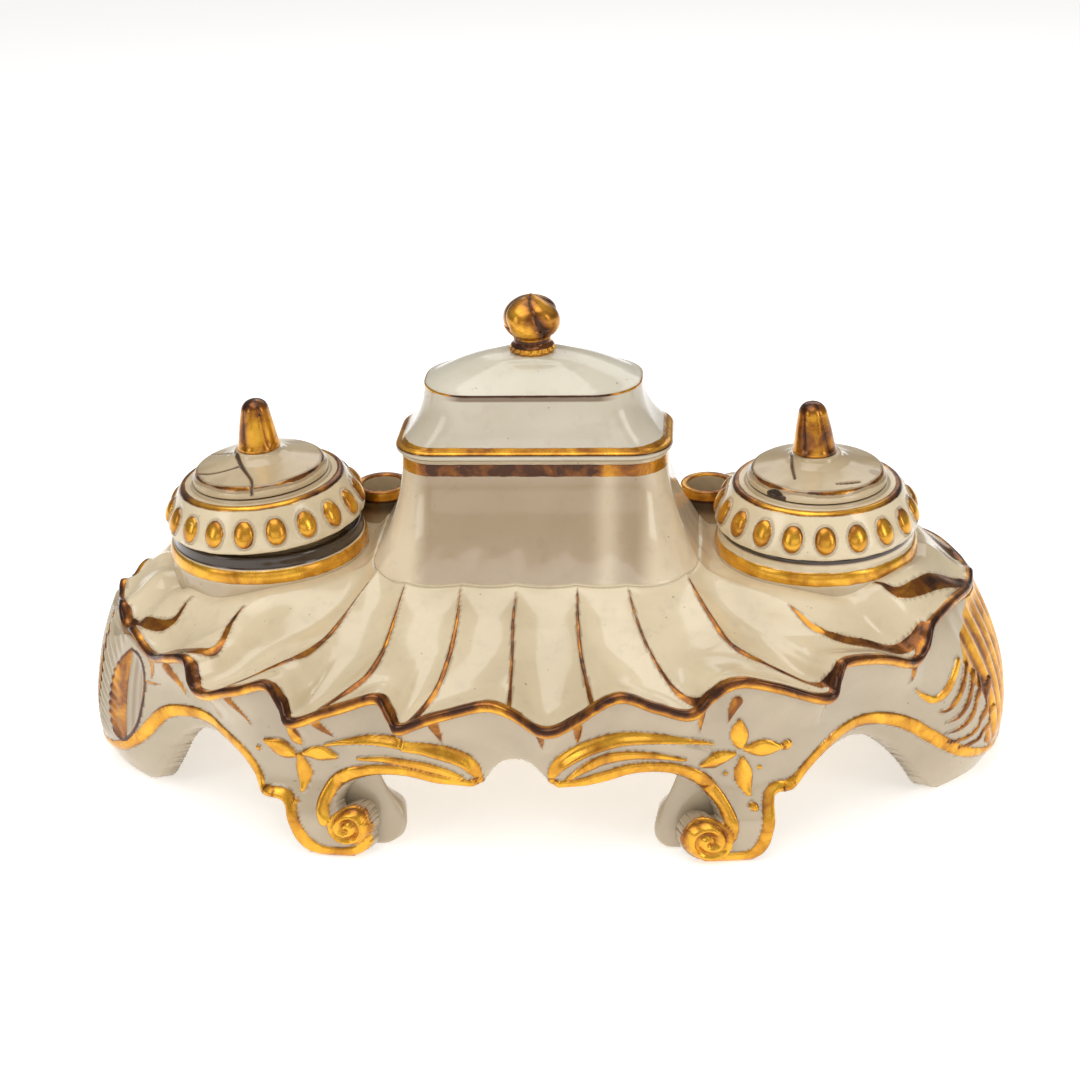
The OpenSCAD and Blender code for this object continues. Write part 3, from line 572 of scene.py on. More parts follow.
# ---- Tray ----
def build_tray():
    n = 1100
    s = np.arange(n) * RIM_LEN / n
    vs = np.concatenate([np.linspace(0, 0.5, 30, endpoint=False), np.linspace(0.5, 1, 44)])
    S, V = np.meshgrid(s, vs)
    top = tray_top(S, V)
    edge = top[-1]
    h = heading(direction(s))
    curl = ease((rim_climb(s) - 0.15) / 1.3)

    # The rim's bead hangs from the edge and is fuller where a scallop climbs
    bead_t = np.radians(np.linspace(-72, 88, 11))
    rows = []
    for t in bead_t:
        out = (1.75 + 0.3 * curl) * math.cos(t)
        z = edge[:, 2] - LIP_H / 2 - (LIP_H / 2) * math.sin(t) + 0.25 * math.cos(t)
        rows.append(cat(edge[:, :2] + h * out[:, None], z[:, None]))
    rows.append(cat(edge[:, :2] - h * 2.2, (edge[:, 2] - LIP_H - 0.3)[:, None]))
    front = np.concatenate([top, np.array(rows)])
    thick = WALL - 0.9 * ease((V - 0.7) / 0.3)
    shrink = 1 - 0.022 * ease((V - 0.8) / 0.2)
    under = cat(top[..., :2] * shrink[..., None], (top[..., 2] - thick)[..., None])
    steps = np.linspace(0.02, 0.3, len(rows))[:, None, None]
    tail = np.repeat(under[-1:], len(rows), 0) + steps * cat(-h, np.zeros((n, 1)))[None]
    back = np.concatenate([under, tail])

    # Holes for the wells and the quill tubes
    centre = (front[:-1] + front[1:]) / 2
    x, y = np.abs(centre[..., 0]), centre[..., 1]
    hole = np.hypot(x - POT_X, y) < WELL_R - 1.2
    hole |= np.hypot(x - TUBE_X, y - TUBE_Y) < TUBE_R - 0.9
    hole |= np.roll(hole, -1, axis=1)
    pts, faces, used = slab(front[:, ::-1], back[:, ::-1], ~hole[:, ::-1], wrap=True)

    # Gilding: the rim, its curls, the arrises and the folds by the pots.
    # Painted shade browns the rim's band, most where a scallop climbs, and the edges of the wider
    # strokes
    plan = top[..., :2]
    width = 0.7 + 1.5 * curl + 0.3 * np.sin(s / 5.3) * np.sin(s / 13.7)
    g = width[None] - np.linalg.norm(plan - edge[None, :, :2], axis=-1)
    a = np.clip(0.62 + 0.35 * curl[None] - 0.2 * ease(g / 0.5), 0, 1)
    for line in TRAY_LINES:
        run = smooth_line(line, 4)
        real = tray_top(run[:, 0], run[:, 1])  # where the line lies on its arris
        for flip in (1, -1):
            road = np.column_stack([real[:, 0], real[:, 1] * flip, run[:, 2]])
            inside, half = stroke(plan, road, 1)
            g = np.maximum(g, inside)
            tone = 0.12 + 0.5 * ease((half - 0.9) / 1.2) * (1 - bead(inside, half))
            a = np.where(inside > -0.2, np.maximum(a, tone), a)
    gilt, wear_and_shade = np.full(front.shape[:2], 2.0), np.zeros(front.shape[:2])
    gilt[: len(vs)] = g
    wear_and_shade[: len(vs)] = np.where(g > -0.3, a, 0)
    # Painted shade browns the bead below and along its top, more where a scallop climbs; the last row,
    # under the rim, is painted shade too
    shade = 0.2 * np.sin(s / 4.1 + 1) * np.sin(s / 9.7)
    for i, t in enumerate(bead_t, len(vs)):
        dark = 0.66 * ease((0.45 - t) / 0.7) + 0.4 * ease((t - 0.9) / 0.4)
        wear_and_shade[i] = np.clip(0.12 + shade + dark + 0.3 * curl, 0, 1)
        gilt[i] = 2.0 if t < 1.1 else -1.0
    wear_and_shade[-1] = 0.9
    add_piece(
        "fluted_tray", pts, faces, "stand", GLAZE,
        layer_values(used, gilt[:, ::-1], NOT_GILT), layer_values(used, wear_and_shade[:, ::-1], 0),
        ["fluted_tray", "rim_lip"],
    )


build_tray()


# ---- Apron, legs and end shells: one moulded wall round the stand, in four pieces ----
RIGHT_EDGE = [
    (-3.4, 31), (-1, 30.8), (1.2, 30), (3.6, 27.8), (5.8, 25), (7.4, 23.2), (9.5, 22.7), (13, 23.2),
    (17.8, 23.6), (23.8, 25.1), (31.8, 27.9), (40.2, 28.5), (46.5, 27), (51.0, 24), (54.8, 20.6),
    (56.9, 17.4), (57.6, 15.2),
]
RIGHT_ARCH = [
    (65.5, 0), (68.6, 1.4), (71.2, 5.2), (72.6, 11.4), (73.6, 16.5), (74.9, 19.4), (78, 19.7),
    (80.9, 19.6), (84, 21.2), (88, 24.2), (93, 27), (99.4, 28.8), (105, 28.9), (110, 27.8),
    (115, 25), (119, 21.2), (122.5, 16.3), (125.5, 11), (128, 6.6), (130.5, 3), (133.5, 0.6), (137, 0),
]
LEFT_EDGE = [
    (-3.4, 31), (-5.6, 30.7), (-8, 29.8), (-10.4, 27.4), (-12.2, 24.8), (-13.6, 23.2), (-16, 22.8),
    (-21, 23.4), (-27, 24), (-35.4, 26.2), (-43.6, 26.6), (-50, 25), (-54.6, 22.4), (-57.2, 19.6),
    (-57.8, 17.2), (-57.2, 15.4),
]
LEFT_ARCH = [
    (-64.5, 0), (-67.4, 1.6), (-69.8, 5.4), (-71.4, 11), (-72.6, 14.6), (-75, 16.2), (-79, 16.2),
    (-82.5, 16.4), (-85.6, 18.8), (-89.4, 22.4), (-97.4, 26.8), (-105.4, 28), (-112, 27.2),
    (-117.5, 24.2), (-121, 19.5), (-123.8, 13), (-127, 7.2), (-130, 3.2), (-133.5, 0.7), (-137, 0),
]
VOLUTE = {1: ((52.2, 7.4), 7.2), -1: ((-51.8, 10.4), 6.2)}

# Painted relief, as s, z and half width
STROKES_RIGHT = {
    "leaf_a": [
        (7.8, 24.6, 0.5), (8.4, 27.6, 1.0), (11.2, 31.4, 1.3), (18.2, 35.8, 1.35),
        (27.8, 39.0, 1.2), (37.4, 39.7, 0.95), (46, 39.2, 0.7), (57, 37.2, 0.35),
    ],
    "leaf_b": [
        (12.6, 26.2, 0.4), (18.2, 30.2, 1.0), (23.8, 33.2, 1.15), (31.8, 34.6, 1.0),
        (39.4, 34.4, 0.75), (47.5, 33.2, 0.35),
    ],
    "leaf_c": [
        (7.9, 24.2, 0.8), (15.8, 25.0, 1.1), (23.8, 27.2, 1.35), (31.8, 29.8, 1.3),
        (40.2, 30.6, 1.25), (47.3, 29.4, 1.35), (53.2, 26, 1.5), (57, 21.3, 1.5),
        (58.9, 16.6, 1.35), (59.4, 12, 1.25), (59, 8, 1.0),
    ],
    "foot": [
        (50, 1.0, 1.3), (54, 0.9, 1.3), (58.5, 1.1, 1.25), (64.6, 1.5, 1.4), (68.3, 5.2, 1.45),
        (70, 11.2, 1.3), (71.8, 17.2, 1.35), (74.8, 20.9, 1.45), (79.6, 21.2, 1.35),
    ],
    "band": [
        (79.6, 21.2, 1.35), (83.6, 22.9, 1.4), (87.6, 26.7, 1.35), (92.8, 30.1, 1.3),
        (100.6, 33, 1.3), (109.8, 33.3, 1.3), (117, 31.3, 1.35), (123, 27.6, 1.35),
        (127.6, 22.8, 1.3), (132.4, 17.6, 1.25), (138, 12.4, 1.15), (145, 9.0, 1.0),
        (153, 7.2, 0.8), (164, 6.6, 0.8), (175.5, 6.4, 0.8),
    ],
}
STROKES_LEFT = {
    "leaf_a": [
        (-13.9, 24.4, 0.5), (-15.2, 28.2, 1.1), (-18.6, 31.8, 1.3), (-26, 34.6, 1.3),
        (-35, 37.0, 1.05), (-46.6, 38.2, 0.85), (-55, 37.0, 0.6), (-61, 35.6, 0.35),
    ],
    "leaf_b": [
        (-19, 26.4, 0.5), (-26, 29.0, 1.0), (-35, 31.2, 0.95), (-42.6, 32.3, 0.7),
        (-50, 32.2, 0.35),
    ],
    "leaf_c": [
        (-13.9, 24.2, 0.8), (-20.4, 24.8, 1.1), (-27, 25.6, 1.3), (-35.4, 28, 1.3),
        (-44.6, 28.5, 1.35), (-52.4, 26.9, 1.45), (-58.2, 23.6, 1.5), (-60.4, 19.4, 1.45),
        (-60.4, 15.6, 1.3), (-59, 12, 1.2),
    ],
    "foot": [
        (-46.2, 10.5, 0.9), (-46.4, 6.2, 1.1), (-49.2, 2.4, 1.3), (-54.6, 1.1, 1.35),
        (-61, 1.6, 1.4), (-66, 5.2, 1.5), (-68.6, 10.6, 1.35), (-70.6, 15.4, 1.35),
        (-73.4, 17.8, 1.4), (-79, 17.8, 1.35),
    ],
    "band": [
        (-79, 17.8, 1.35), (-82.4, 18, 1.4), (-85.6, 22, 1.4), (-91.4, 27.2, 1.35),
        (-101.2, 30.4, 1.3), (-109, 32.2, 1.3), (-117, 31.8, 1.35), (-123.8, 29.1, 1.35),
        (-128.3, 23.3, 1.3), (-132.2, 17.6, 1.25), (-138.9, 11.3, 1.15), (-146, 8.2, 1.0),
        (-155, 6.9, 0.8), (-165, 6.5, 0.8), (-175.5, 6.4, 0.8),
    ],
}
PETALS_RIGHT = [
    [(65.4, 36.6, 0.3), (65.3, 39.6, 1.5), (65.3, 43.4, 0.3)],
    [(68.0, 35.0, 0.3), (72.2, 34.9, 1.5), (76.6, 34.5, 0.3)],
    [(62.4, 33.4, 0.3), (58.0, 32.2, 1.3), (53.8, 31.2, 0.3)],
    [(65.8, 31.0, 0.3), (66.2, 26.4, 1.55), (66.6, 21.8, 0.3)],
    [(79.4, 34.8, 0.9), (79.6, 34.8, 0.9)],
    [(67.0, 17.2, 0.75), (67.1, 17.2, 0.75)],
    [(71.0, 28.6, 0.4), (71.1, 28.6, 0.4)],
    [(60.8, 27.2, 0.4), (60.9, 27.2, 0.4)],
]
PETALS_LEFT = [
    [(-69.4, 36.2, 0.3), (-70.6, 38.0, 1.3), (-72.4, 40.6, 0.3)],
    [(-72.0, 31.4, 0.3), (-75.8, 32.6, 1.6), (-80.4, 33.8, 0.3)],
    [(-67.2, 32.2, 0.3), (-63.0, 32.5, 1.4), (-58.6, 32.1, 0.3)],
    [(-69.4, 30.6, 0.3), (-68.8, 26.2, 1.4), (-68.2, 21.4, 0.3)],
    [(-84.2, 30.8, 0.5), (-84.3, 30.8, 0.5)],
    [(-69.0, 17.0, 0.5), (-69.1, 17.0, 0.5)],
]
# How much fuller the painter's strokes are than the tables say
STROKE_WIDER, DROP_WIDER = 1.55, 1.4
PETAL_LONGER, PETAL_WIDER, PETAL_TIP = 1.2, 1.9, 0.95
DROPS = [
    [(5.0, 43.0, 1.1), (5.2, 39.4, 0.7), (5.4, 35.8, 0.1)],
    [(16.2, 43.6, 1.0), (16.2, 40.4, 0.7), (16.2, 37.6, 0.1)],
    [(53.4, 50.0, 1.2), (53.4, 45.6, 0.8), (53.3, 41.0, 0.1)],
    [(64.6, 50.8, 1.3), (63.2, 47.8, 0.9), (61.8, 43.8, 0.1)],
    [(93.0, 50.0, 1.3), (92.6, 47.4, 0.9), (92.0, 43.8, 0.1)],
    [(124.6, 50.4, 1.4), (123.4, 46.6, 0.9), (122.4, 41.4, 0.1)],
    [(-119.8, 46.2, 1.4), (-118.4, 42, 0.9), (-116.4, 37.4, 0.1)],
    [(-92.8, 47.2, 1.3), (-89.8, 42.6, 0.8), (-86.4, 37.8, 0.1)],
    [(-61.4, 44.8, 1.1), (-59.6, 41.4, 0.7), (-57.6, 38.2, 0.1)],
    [(-26.4, 44.2, 1.1), (-25.6, 40.6, 0.7), (-25, 37, 0.1)],
    [(-70.0, 43.4, 1.0), (-68.8, 40.4, 1.3), (-68.0, 38.0, 0.2)],
]
# Crescents that fan over the right shell, and the dark leaf on the left one
SHELL_LINES = [
    [
        (124.8, 39.0, 0.3), (127.5, 35.5, 0.9), (130.5, 33.3, 1.3), (134.0, 34.5, 1.4),
        (137.5, 38.5, 1.3), (140.5, 42.5, 1.1),
    ],
    [
        (131.0, 28.8, 0.2), (134.0, 28.6, 0.7), (137.0, 30.8, 0.9), (140.0, 35.0, 1.0),
        (143.0, 40.0, 0.8),
    ],
    [
        (133.0, 24.4, 0.2), (136.5, 25.0, 0.7), (139.5, 27.6, 0.9), (142.0, 31.4, 1.0),
        (145.0, 37.0, 0.8),
    ],
    [
        (132.6, 20.8, 0.2), (136.8, 21.0, 0.7), (140.5, 23.2, 0.9), (144.0, 28.5, 1.0),
        (147.0, 34.0, 0.8),
    ],
    [
        (132.3, 18.0, 0.2), (138.5, 17.0, 0.7), (143.5, 19.5, 0.9), (148.0, 25.5, 1.0),
        (151.0, 32.0, 0.8),
    ],
    [(136.0, 14.8, 0.2), (141.5, 14.2, 0.7), (146.0, 16.4, 0.9), (151.0, 22.0, 0.9)],
]
SHELL_LEAF = [
    (-138.5, 46), (-141.5, 42), (-144.5, 35.5), (-145.4, 25.5), (-144, 15.5), (-141, 12.6),
    (-136.5, 14.5), (-132.6, 22), (-130.8, 34), (-131.6, 41), (-134.5, 45),
]

# Edge of the right shell's fan, rib of the left leaf, and the small touches near the left shell
FAN_Z = [8, 12, 18, 24, 31, 40, 47, 53, 58, 64]
FAN_S = [150, 146, 147, 148, 145, 142, 144, 150.5, 161, 170]
LEAF_RIB = -138.4
SHELL_TOUCHES = [
    [(-131, 37.4, 0.3), (-128, 37.6, 0.45), (-125.4, 38.2, 0.3)],
    [(-136, 50, 0.9), (-131.5, 47.5, 1.1), (-128.2, 43.6, 1.3), (-128.6, 39.4, 0.3)],
    [(-173, 46, 0.6), (-173, 40, 3.2), (-173, 30, 4.6), (-173, 20, 3.4), (-173, 13, 0.8)],
    [(-159, 49, 0.5), (-156.5, 40, 2.2), (-155, 30, 3.0), (-155, 20, 2.2), (-156, 14, 0.6)],
]


def leg_window(s):
    f = np.abs(front_s(s))
    return ease((f - 36) / 7) * ease((90 - f) / 12)


def leg_proud(s, z):
    """How far the wall swings out over a leg."""
    return 5.0 * ease((26 - z) / 16) * leg_window(s)


def shell_swell(s, z):
    a = np.degrees(np.abs(direction(front_s(s))))
    a = np.where(a > 180, 360 - a, a)
    low = 0.74 + 0.26 * np.sin(math.pi / 2 * np.clip(z, 0, 13) / 13)
    high = np.cos(math.pi / 2 * np.clip((z - 13) / (RIM_Z + RIM_RISE + 8 - 13), 0, 1))
    return 17.6 * ease((a - 60) / 22) * np.where(z < 13, low, high)


def widened(line, k):
    return [(x, z, k * half) for x, z, half in line]


def petal(line):
    """A petal's stroke, drawn out from its middle, with blunt tips."""
    mid = np.mean([line[0][:2], line[-1][:2]], axis=0)
    out = []
    for x, z, half in line:
        place = mid + PETAL_LONGER * (np.array([x, z]) - mid)
        out.append((*place, PETAL_WIDER * half if half > 0.35 else PETAL_TIP))
    return out


def wall_gilding(s, z):
    """Gilding (signed distance in mm), wear and painted shade, and relief height of the wall at s, z.
    """
    f = front_s(s)
    q = np.stack([f, z], -1)
    gilt = np.full(f.shape, NOT_GILT)
    wear_and_shade = np.zeros(f.shape)
    lift = np.zeros(f.shape)

    def paint(line, tone, edge_shade=0.0, height=0.0, n=8, power=1, low_when_thin=False):
        """Adds a stroke: tone on its crest, and painted shade that browns it more towards its edge."""
        nonlocal gilt, wear_and_shade, lift
        inside, half = stroke(q, line, n)
        b = bead(inside, half)
        gilt = np.maximum(gilt, inside)
        wear_and_shade = np.where(inside > EDGE, np.maximum(wear_and_shade, tone + edge_shade * (1 - b) ** power), wear_and_shade)
        if height:
            lift = np.maximum(lift, height * b * (np.clip(half, 0, 1) if low_when_thin else 1))

    for key, line in [*STROKES_RIGHT.items(), *STROKES_LEFT.items()]:
        paint(widened(line, STROKE_WIDER), 0.06, 0.62, 0.9 if "leaf" in key else 0.7, power=1.5)
    for line in PETALS_RIGHT + PETALS_LEFT:
        paint(petal(line), 0.0, 0.65, 1.0, low_when_thin=True)
    for line in DROPS:
        paint(widened(line, DROP_WIDER), 0.55, 0.0, 0.5, n=6)
    for side, ((cx, cz), r) in VOLUTE.items():
        x, y = (f - cx) * side, z - cz
        rad = np.hypot(x, y)
        inside = r - rad
        gilt = np.maximum(gilt, inside)
        pitch = r / 2.1
        spiral = np.cos(2 * math.pi * (rad / pitch) - np.arctan2(y, x))
        dome = np.sqrt(np.clip(1 - (rad / r) ** 2, 0, 1))
        relief = 1.6 * dome + 0.75 * spiral * ease(inside / 0.8) * ease(rad / 1.2)
        lift = np.where(inside > 0, np.maximum(lift, relief), lift)
        # Painted shade browns the volute towards its rim and in its spiral groove
        tone = np.maximum(0.5 * (1 - dome) ** 2, 0.55 * ease((-spiral - 0.1) / 0.9))
        wear_and_shade = np.where(inside > EDGE, tone, wear_and_shade)
    # Right end shell: a gilt fan of ribs, with painted shade in the grooves between them, and browner
    # low down towards its front
    for i, line in enumerate(SHELL_LINES):
        paint(line, 0.1 if i == 0 else 0.5, 0.4, 0.6)
    fan = np.minimum(f - np.interp(z, FAN_Z, FAN_S), z - 9.0)
    gilt = np.maximum(gilt, fan)
    rib = np.sin(math.pi * (f - QUARTER) / (4.6 + 0.03 * z))
    groove = ease((np.abs(f) - 140) / 8) * ease((z - 8) / 8) * ease((57 - z) / 8)
    lift = lift - 0.9 * groove * rib**2
    brown = 0.05 + 0.6 * groove * rib**4 + 0.35 * ease((152 - f) / 8) * ease((46 - z) / 12)
    wear_and_shade = np.where(fan > 0, np.maximum(wear_and_shade, brown), wear_and_shade)
    # Left end shell: a dark oval leaf on either side, lined with gilt towards the front; painted shade
    # darkens it along its sunk edge
    leaf = inside_polygon(q, smooth_line(SHELL_LEAF + SHELL_LEAF[:1], 5))
    ahead = f > LEAF_RIB
    dark = np.where(ahead, 0.8, 0.5) + 0.3 * ease((1.2 - leaf) / 0.8)
    pale = 0.4 + 0.3 * np.sin(2.4 * f)
    gilt = np.maximum(gilt, np.where(ahead, np.minimum(leaf, 1.3 - leaf), leaf))
    wear_and_shade = np.where(leaf > -0.2, np.maximum(wear_and_shade, np.where(ahead & (leaf > 1.2), pale, dark)), wear_and_shade)
    lift = lift - 0.7 * ease(leaf / 3)
    for line in SHELL_TOUCHES:
        paint(line, 0.3, 0.4)
    return gilt, wear_and_shade, lift


def wall_point(s, z, d):
    """Point of the wall at s, z, stood out by d mm from the apron's own face."""
    return cat(outline(direction(s), APRON_INSET - d), z[..., None])


def wall_outline():
    """Closed line round the front wall's face, in s, z."""
    def circle(side, start, stop):
        (cx, cz), r = VOLUTE[side]
        t = np.radians(np.linspace(start, stop, 26))
        return [(cx + side * r * math.cos(k), max(0, cz + r * math.sin(k))) for k in t]

    left_toe = [(-46.0, 4.4), (-47.2, 2.2), (-49.4, 0.6), (-52, 0)]
    right = smooth_line(RIGHT_EDGE, 5).tolist() + circle(1, 48, 268)
    right += smooth_line(RIGHT_ARCH, 5).tolist()
    left = smooth_line(LEFT_EDGE, 5).tolist() + circle(-1, 42, 215) + left_toe
    left += smooth_line(LEFT_ARCH, 5).tolist()
    return np.array(right + [(200, 0), (200, 90), (-200, 90), (-200, 0)] + left[::-1], float)


WALL_LINE = wall_outline()
# The leaf that stands out on either half of the front
LEAF = {
    1: [
        (7.6, 23.5), (8.4, 28), (11.2, 32.2), (18.2, 36.9), (27.8, 40.2), (37.4, 40.8), (46, 40),
        (56, 37), (60, 32), (58, 24), (52, 22), (46, 20), (30, 20), (15, 20), (8, 20),
    ],
    -1: [
        (-13.6, 23.5), (-15.0, 28.6), (-18.6, 33), (-26, 36), (-35, 38.2), (-46.6, 39.2), (-55, 38),
        (-61, 35.6), (-62, 30), (-59, 24), (-52, 20), (-40, 20), (-25, 20), (-14, 20),
    ],
}


def in_wall(f, z):
    return inside_polygon(np.stack([f, z], -1), WALL_LINE)


def wall_relief(s, z, lift):
    """How far the wall's face stands out at s, z."""
    f = front_s(s)
    q = np.stack([f, z], -1)
    d = leg_proud(s, z) + shell_swell(s, z) + lift
    fade = ease((64 - np.abs(f)) / 18) * 2.0
    for line in LEAF.values():
        d = d + ease(inside_polygon(q, smooth_line(line, 4)) / 2.6) * fade * ease((z - 18) / 4)
    top = rim_height(s) - 3.2
    swing = rim_swing(s)
    crest = ease((z - (top - 11)) / 11) * (1 - ease((np.abs(f) - 120) / 12))
    return d + (1.6 + 1.4 * swing) * crest + 0.5 * swing * ease((z - 26) / 18)


def build_wall(name, s0, s1, nodes, step):
    s = np.linspace(s0, s1, int((s1 - s0) / step) + 1)
    zs = np.linspace(0, 1, 108)
    S = np.repeat(s[None], len(zs), 0)
    ceiling = rim_height(s) - 2.9
    Z = zs[:, None] * ceiling[None]
    f = front_s(S)
    inside = in_wall(f, Z)
    keep = in_wall(front_s((S[:-1, :-1] + S[1:, 1:]) / 2), (Z[:-1, :-1] + Z[1:, 1:]) / 2) > 0
    # Points just outside the edge move onto it
    eps = 0.05
    gx = (in_wall(f + eps, Z) - inside) / eps
    gz = (in_wall(f, Z + eps) - inside) / eps
    size = np.maximum(np.hypot(gx, gz), 1e-6)
    pull = np.where((inside < 0.22) & (inside > -1.2) & (Z > 0.01), -inside, 0)
    mirror = np.where(np.abs(np.mod(S + HALF, RIM_LEN) - HALF) > QUARTER, -1, 1)
    S2 = S + pull * gx / size * mirror
    Z2 = np.maximum(0, Z + pull * gz / size)
    gilt, wear_and_shade, lift = wall_gilding(S2, Z2)
    # The edge is rounded over the width of "soft"
    round_r = 1.4
    depth = np.clip(inside, 0, round_r)
    soft = round_r - np.sqrt(np.clip(round_r**2 - (round_r - depth) ** 2, 0, None))
    soft = np.where(Z2 < 0.4, 0.6, soft)
    d = wall_relief(S2, Z2, lift)
    bulge = shell_swell(S2, Z2)
    thick = WALL + 0.3 * np.clip(bulge, 0, 3)
    # The inner top edge keeps clear of the tray's slope
    low = Z2 - 2.4 * ease((Z2 - ceiling[None] + 6) / 6)
    inner = np.minimum(d, leg_proud(S2, Z2) + bulge) - thick + soft * 0.5
    pts, faces, used = slab(wall_point(S2, Z2, d - soft), wall_point(S2, low, inner), keep)
    ends = np.zeros(S.shape, bool)
    ends[:, 0] = ends[:, -1] = True
    seam = np.where(np.concatenate([ends.ravel(), ends.ravel()])[used])[0]
    gilt, wear_and_shade = layer_values(used, gilt, NOT_GILT), layer_values(used, wear_and_shade, 0)
    add_piece(name, pts, faces, "stand", APRON_GLAZE_PAINTED_SHADE, gilt, wear_and_shade, nodes, seam=seam)


JOIN_S = 121.0
for end, middle in (("front", 0.0), ("rear", HALF)):
    aprons = [f"{end}_apron", f"{end}_left_side_apron", f"{end}_right_side_apron"]
    build_wall(f"{end}_apron", middle - JOIN_S, middle + JOIN_S, aprons, 0.5)
    if end == "front":
        build_wall("right_end_shell", JOIN_S, HALF - JOIN_S, ["right_end_shell"], 0.6)
build_wall("left_end_shell", HALF + JOIN_S, RIM_LEN - JOIN_S, ["left_end_shell"], 0.6)

# Leg bodies behind the scrolls
LEG_LINE = {
    1: [(50, 27), (48.6, 23.5), (47.2, 20), (45, 15.4), (41.8, 10), (40.4, 6.4), (40.8, 3.2),
        (43, 0.9), (46, 0), (56, 0), (66, 0), (69.4, 2), (71, 6.5), (72, 12), (73, 17),
        (75.6, 20.5), (77, 27)],
    -1: [(-49.4, 27), (-48.2, 22.8), (-46.4, 18.6), (-43.6, 14.4), (-40.6, 10.4), (-39.6, 7),
         (-40.6, 3.6), (-43.6, 1.2), (-47, 0), (-56, 0), (-65, 0), (-68, 2), (-69.8, 6.5),
         (-71.2, 12), (-72.4, 16), (-75, 19), (-77, 27)],
}


def ring_solid(rings):
    """Closed solid through rings of points."""
    m, n = len(rings), len(rings[0])
    idx = np.arange(m * n).reshape(m, n)
    nxt = np.roll(idx, -1, axis=1)
    faces = np.stack([idx[:-1], idx[1:], nxt[1:], nxt[:-1]], -1).reshape(-1, 4).tolist()
    faces.append(idx[0].tolist())
    faces.append(idx[-1, ::-1].tolist())
    return np.vstack(rings), faces


# Depth behind the wall's face and inset of each ring of a leg
LEG_RINGS = [
    (-3.2, 1.4), (-3.7, 0.5), (-4.8, 0), (-8, 0), (-10.6, 0.1), (-12.4, 0.9), (-13.6, 2.2),
    (-14.2, 4.2),
]


def build_leg(name, side, rear):
    line = smooth_line(LEG_LINE[side], 6)
    ahead, behind = np.roll(line, -1, axis=0), np.roll(line, 1, axis=0)
    along = ahead - behind
    length = np.maximum(np.linalg.norm(along, axis=1), 1e-6)[:, None]
    normal = np.stack([-along[:, 1], along[:, 0]], -1) / length
    if np.sum(line[:, 0] * ahead[:, 1] - ahead[:, 0] * line[:, 1]) < 0:
        normal = -normal
    rings = []
    outer_s, taper = 75, 0.022
    for depth, inset in LEG_RINGS:
        p = line + normal * inset
        z = np.maximum(p[:, 1], 0)
        back = max(0.0, -4.0 - depth)
        # The back of the leg is drawn in on its inner side
        s = side * (outer_s - (outer_s - side * p[:, 0]) * (1 - taper * back))
        proud = depth + 2.0 * ease((14 - z) / 10) + 0.45 * back * ease((z - 9) / 9)
        rings.append(wall_point(HALF - s if rear else s, z, proud))
    pts, faces = ring_solid(rings)
    volume = sum(
        pts[f[0]] @ np.cross(pts[f[k]], pts[f[k + 1]]) for f in faces for k in range(1, len(f) - 1)
    )
    if volume < 0:
        faces = [f[::-1] for f in faces]
    add_piece(name, pts, faces, "stand", APRON_GLAZE_PAINTED_SHADE)


for side, word in SIDES:
    build_leg(f"front_{word}_leg", side, False)
    build_leg(f"rear_{word}_leg", side, True)


# ---- Box ----
class Rings:
    """Gathers the rings of a closed solid, with the gilding, and the wear and painted shade, of each.
    """

    def __init__(self):
        self.rings, self.gilt, self.wear_and_shade = [], [], []

    def put(self, ring, gilt=NOT_GILT, wear_and_shade=0.0):
        self.rings.append(ring)
        self.gilt.append(np.broadcast_to(gilt, len(ring)))
        self.wear_and_shade.append(np.broadcast_to(wear_and_shade, len(ring)))

    def finish(self, name, body, material):
        pts, faces = ring_solid(self.rings)
        gilt, wear_and_shade = np.concatenate(self.gilt), np.concatenate(self.wear_and_shade)
        add_piece(name, pts, faces, body, material, gilt, wear_and_shade)


def grown(size, by):
    return tuple(v + by for v in size)


def rect_ring(hx, hy, r, z, n=240):
    """Ring of a rounded rectangle, counter-clockwise from above, evenly spaced."""
    corners = [(1, 1, 0), (-1, 1, 90), (-1, -1, 180), (1, -1, 270)]
    pts = []
    for ex, ey, start in corners:
        for t in np.radians(start + np.linspace(0, 90, 14)):
            pts.append((ex * (hx - r) + r * math.cos(t), ey * (hy - r) + r * math.sin(t)))
    p = np.array(pts + pts[:1])
    run = np.concatenate([[0], np.cumsum(np.linalg.norm(np.diff(p, axis=0), axis=1))])
    at = np.arange(n) * run[-1] / n
    return np.column_stack([np.interp(at, run, p[:, 0]), np.interp(at, run, p[:, 1]), np.full(n, z)])


def skirt_drop(ring):
    """Depth of the flutes where they start on the box's foot."""
    turn = np.arctan2(ring[:, 0], -ring[:, 1]) % (2 * math.pi)
    real = TABLE_A + np.radians(10) * np.sin(2 * TABLE_A)
    s = np.interp(np.interp(turn, real, TABLE_A), TABLE_A, TABLE_S)
    return flute_drop(s, np.zeros(len(s))) * flute_start(0.0) * (1 - near_pot(ring))


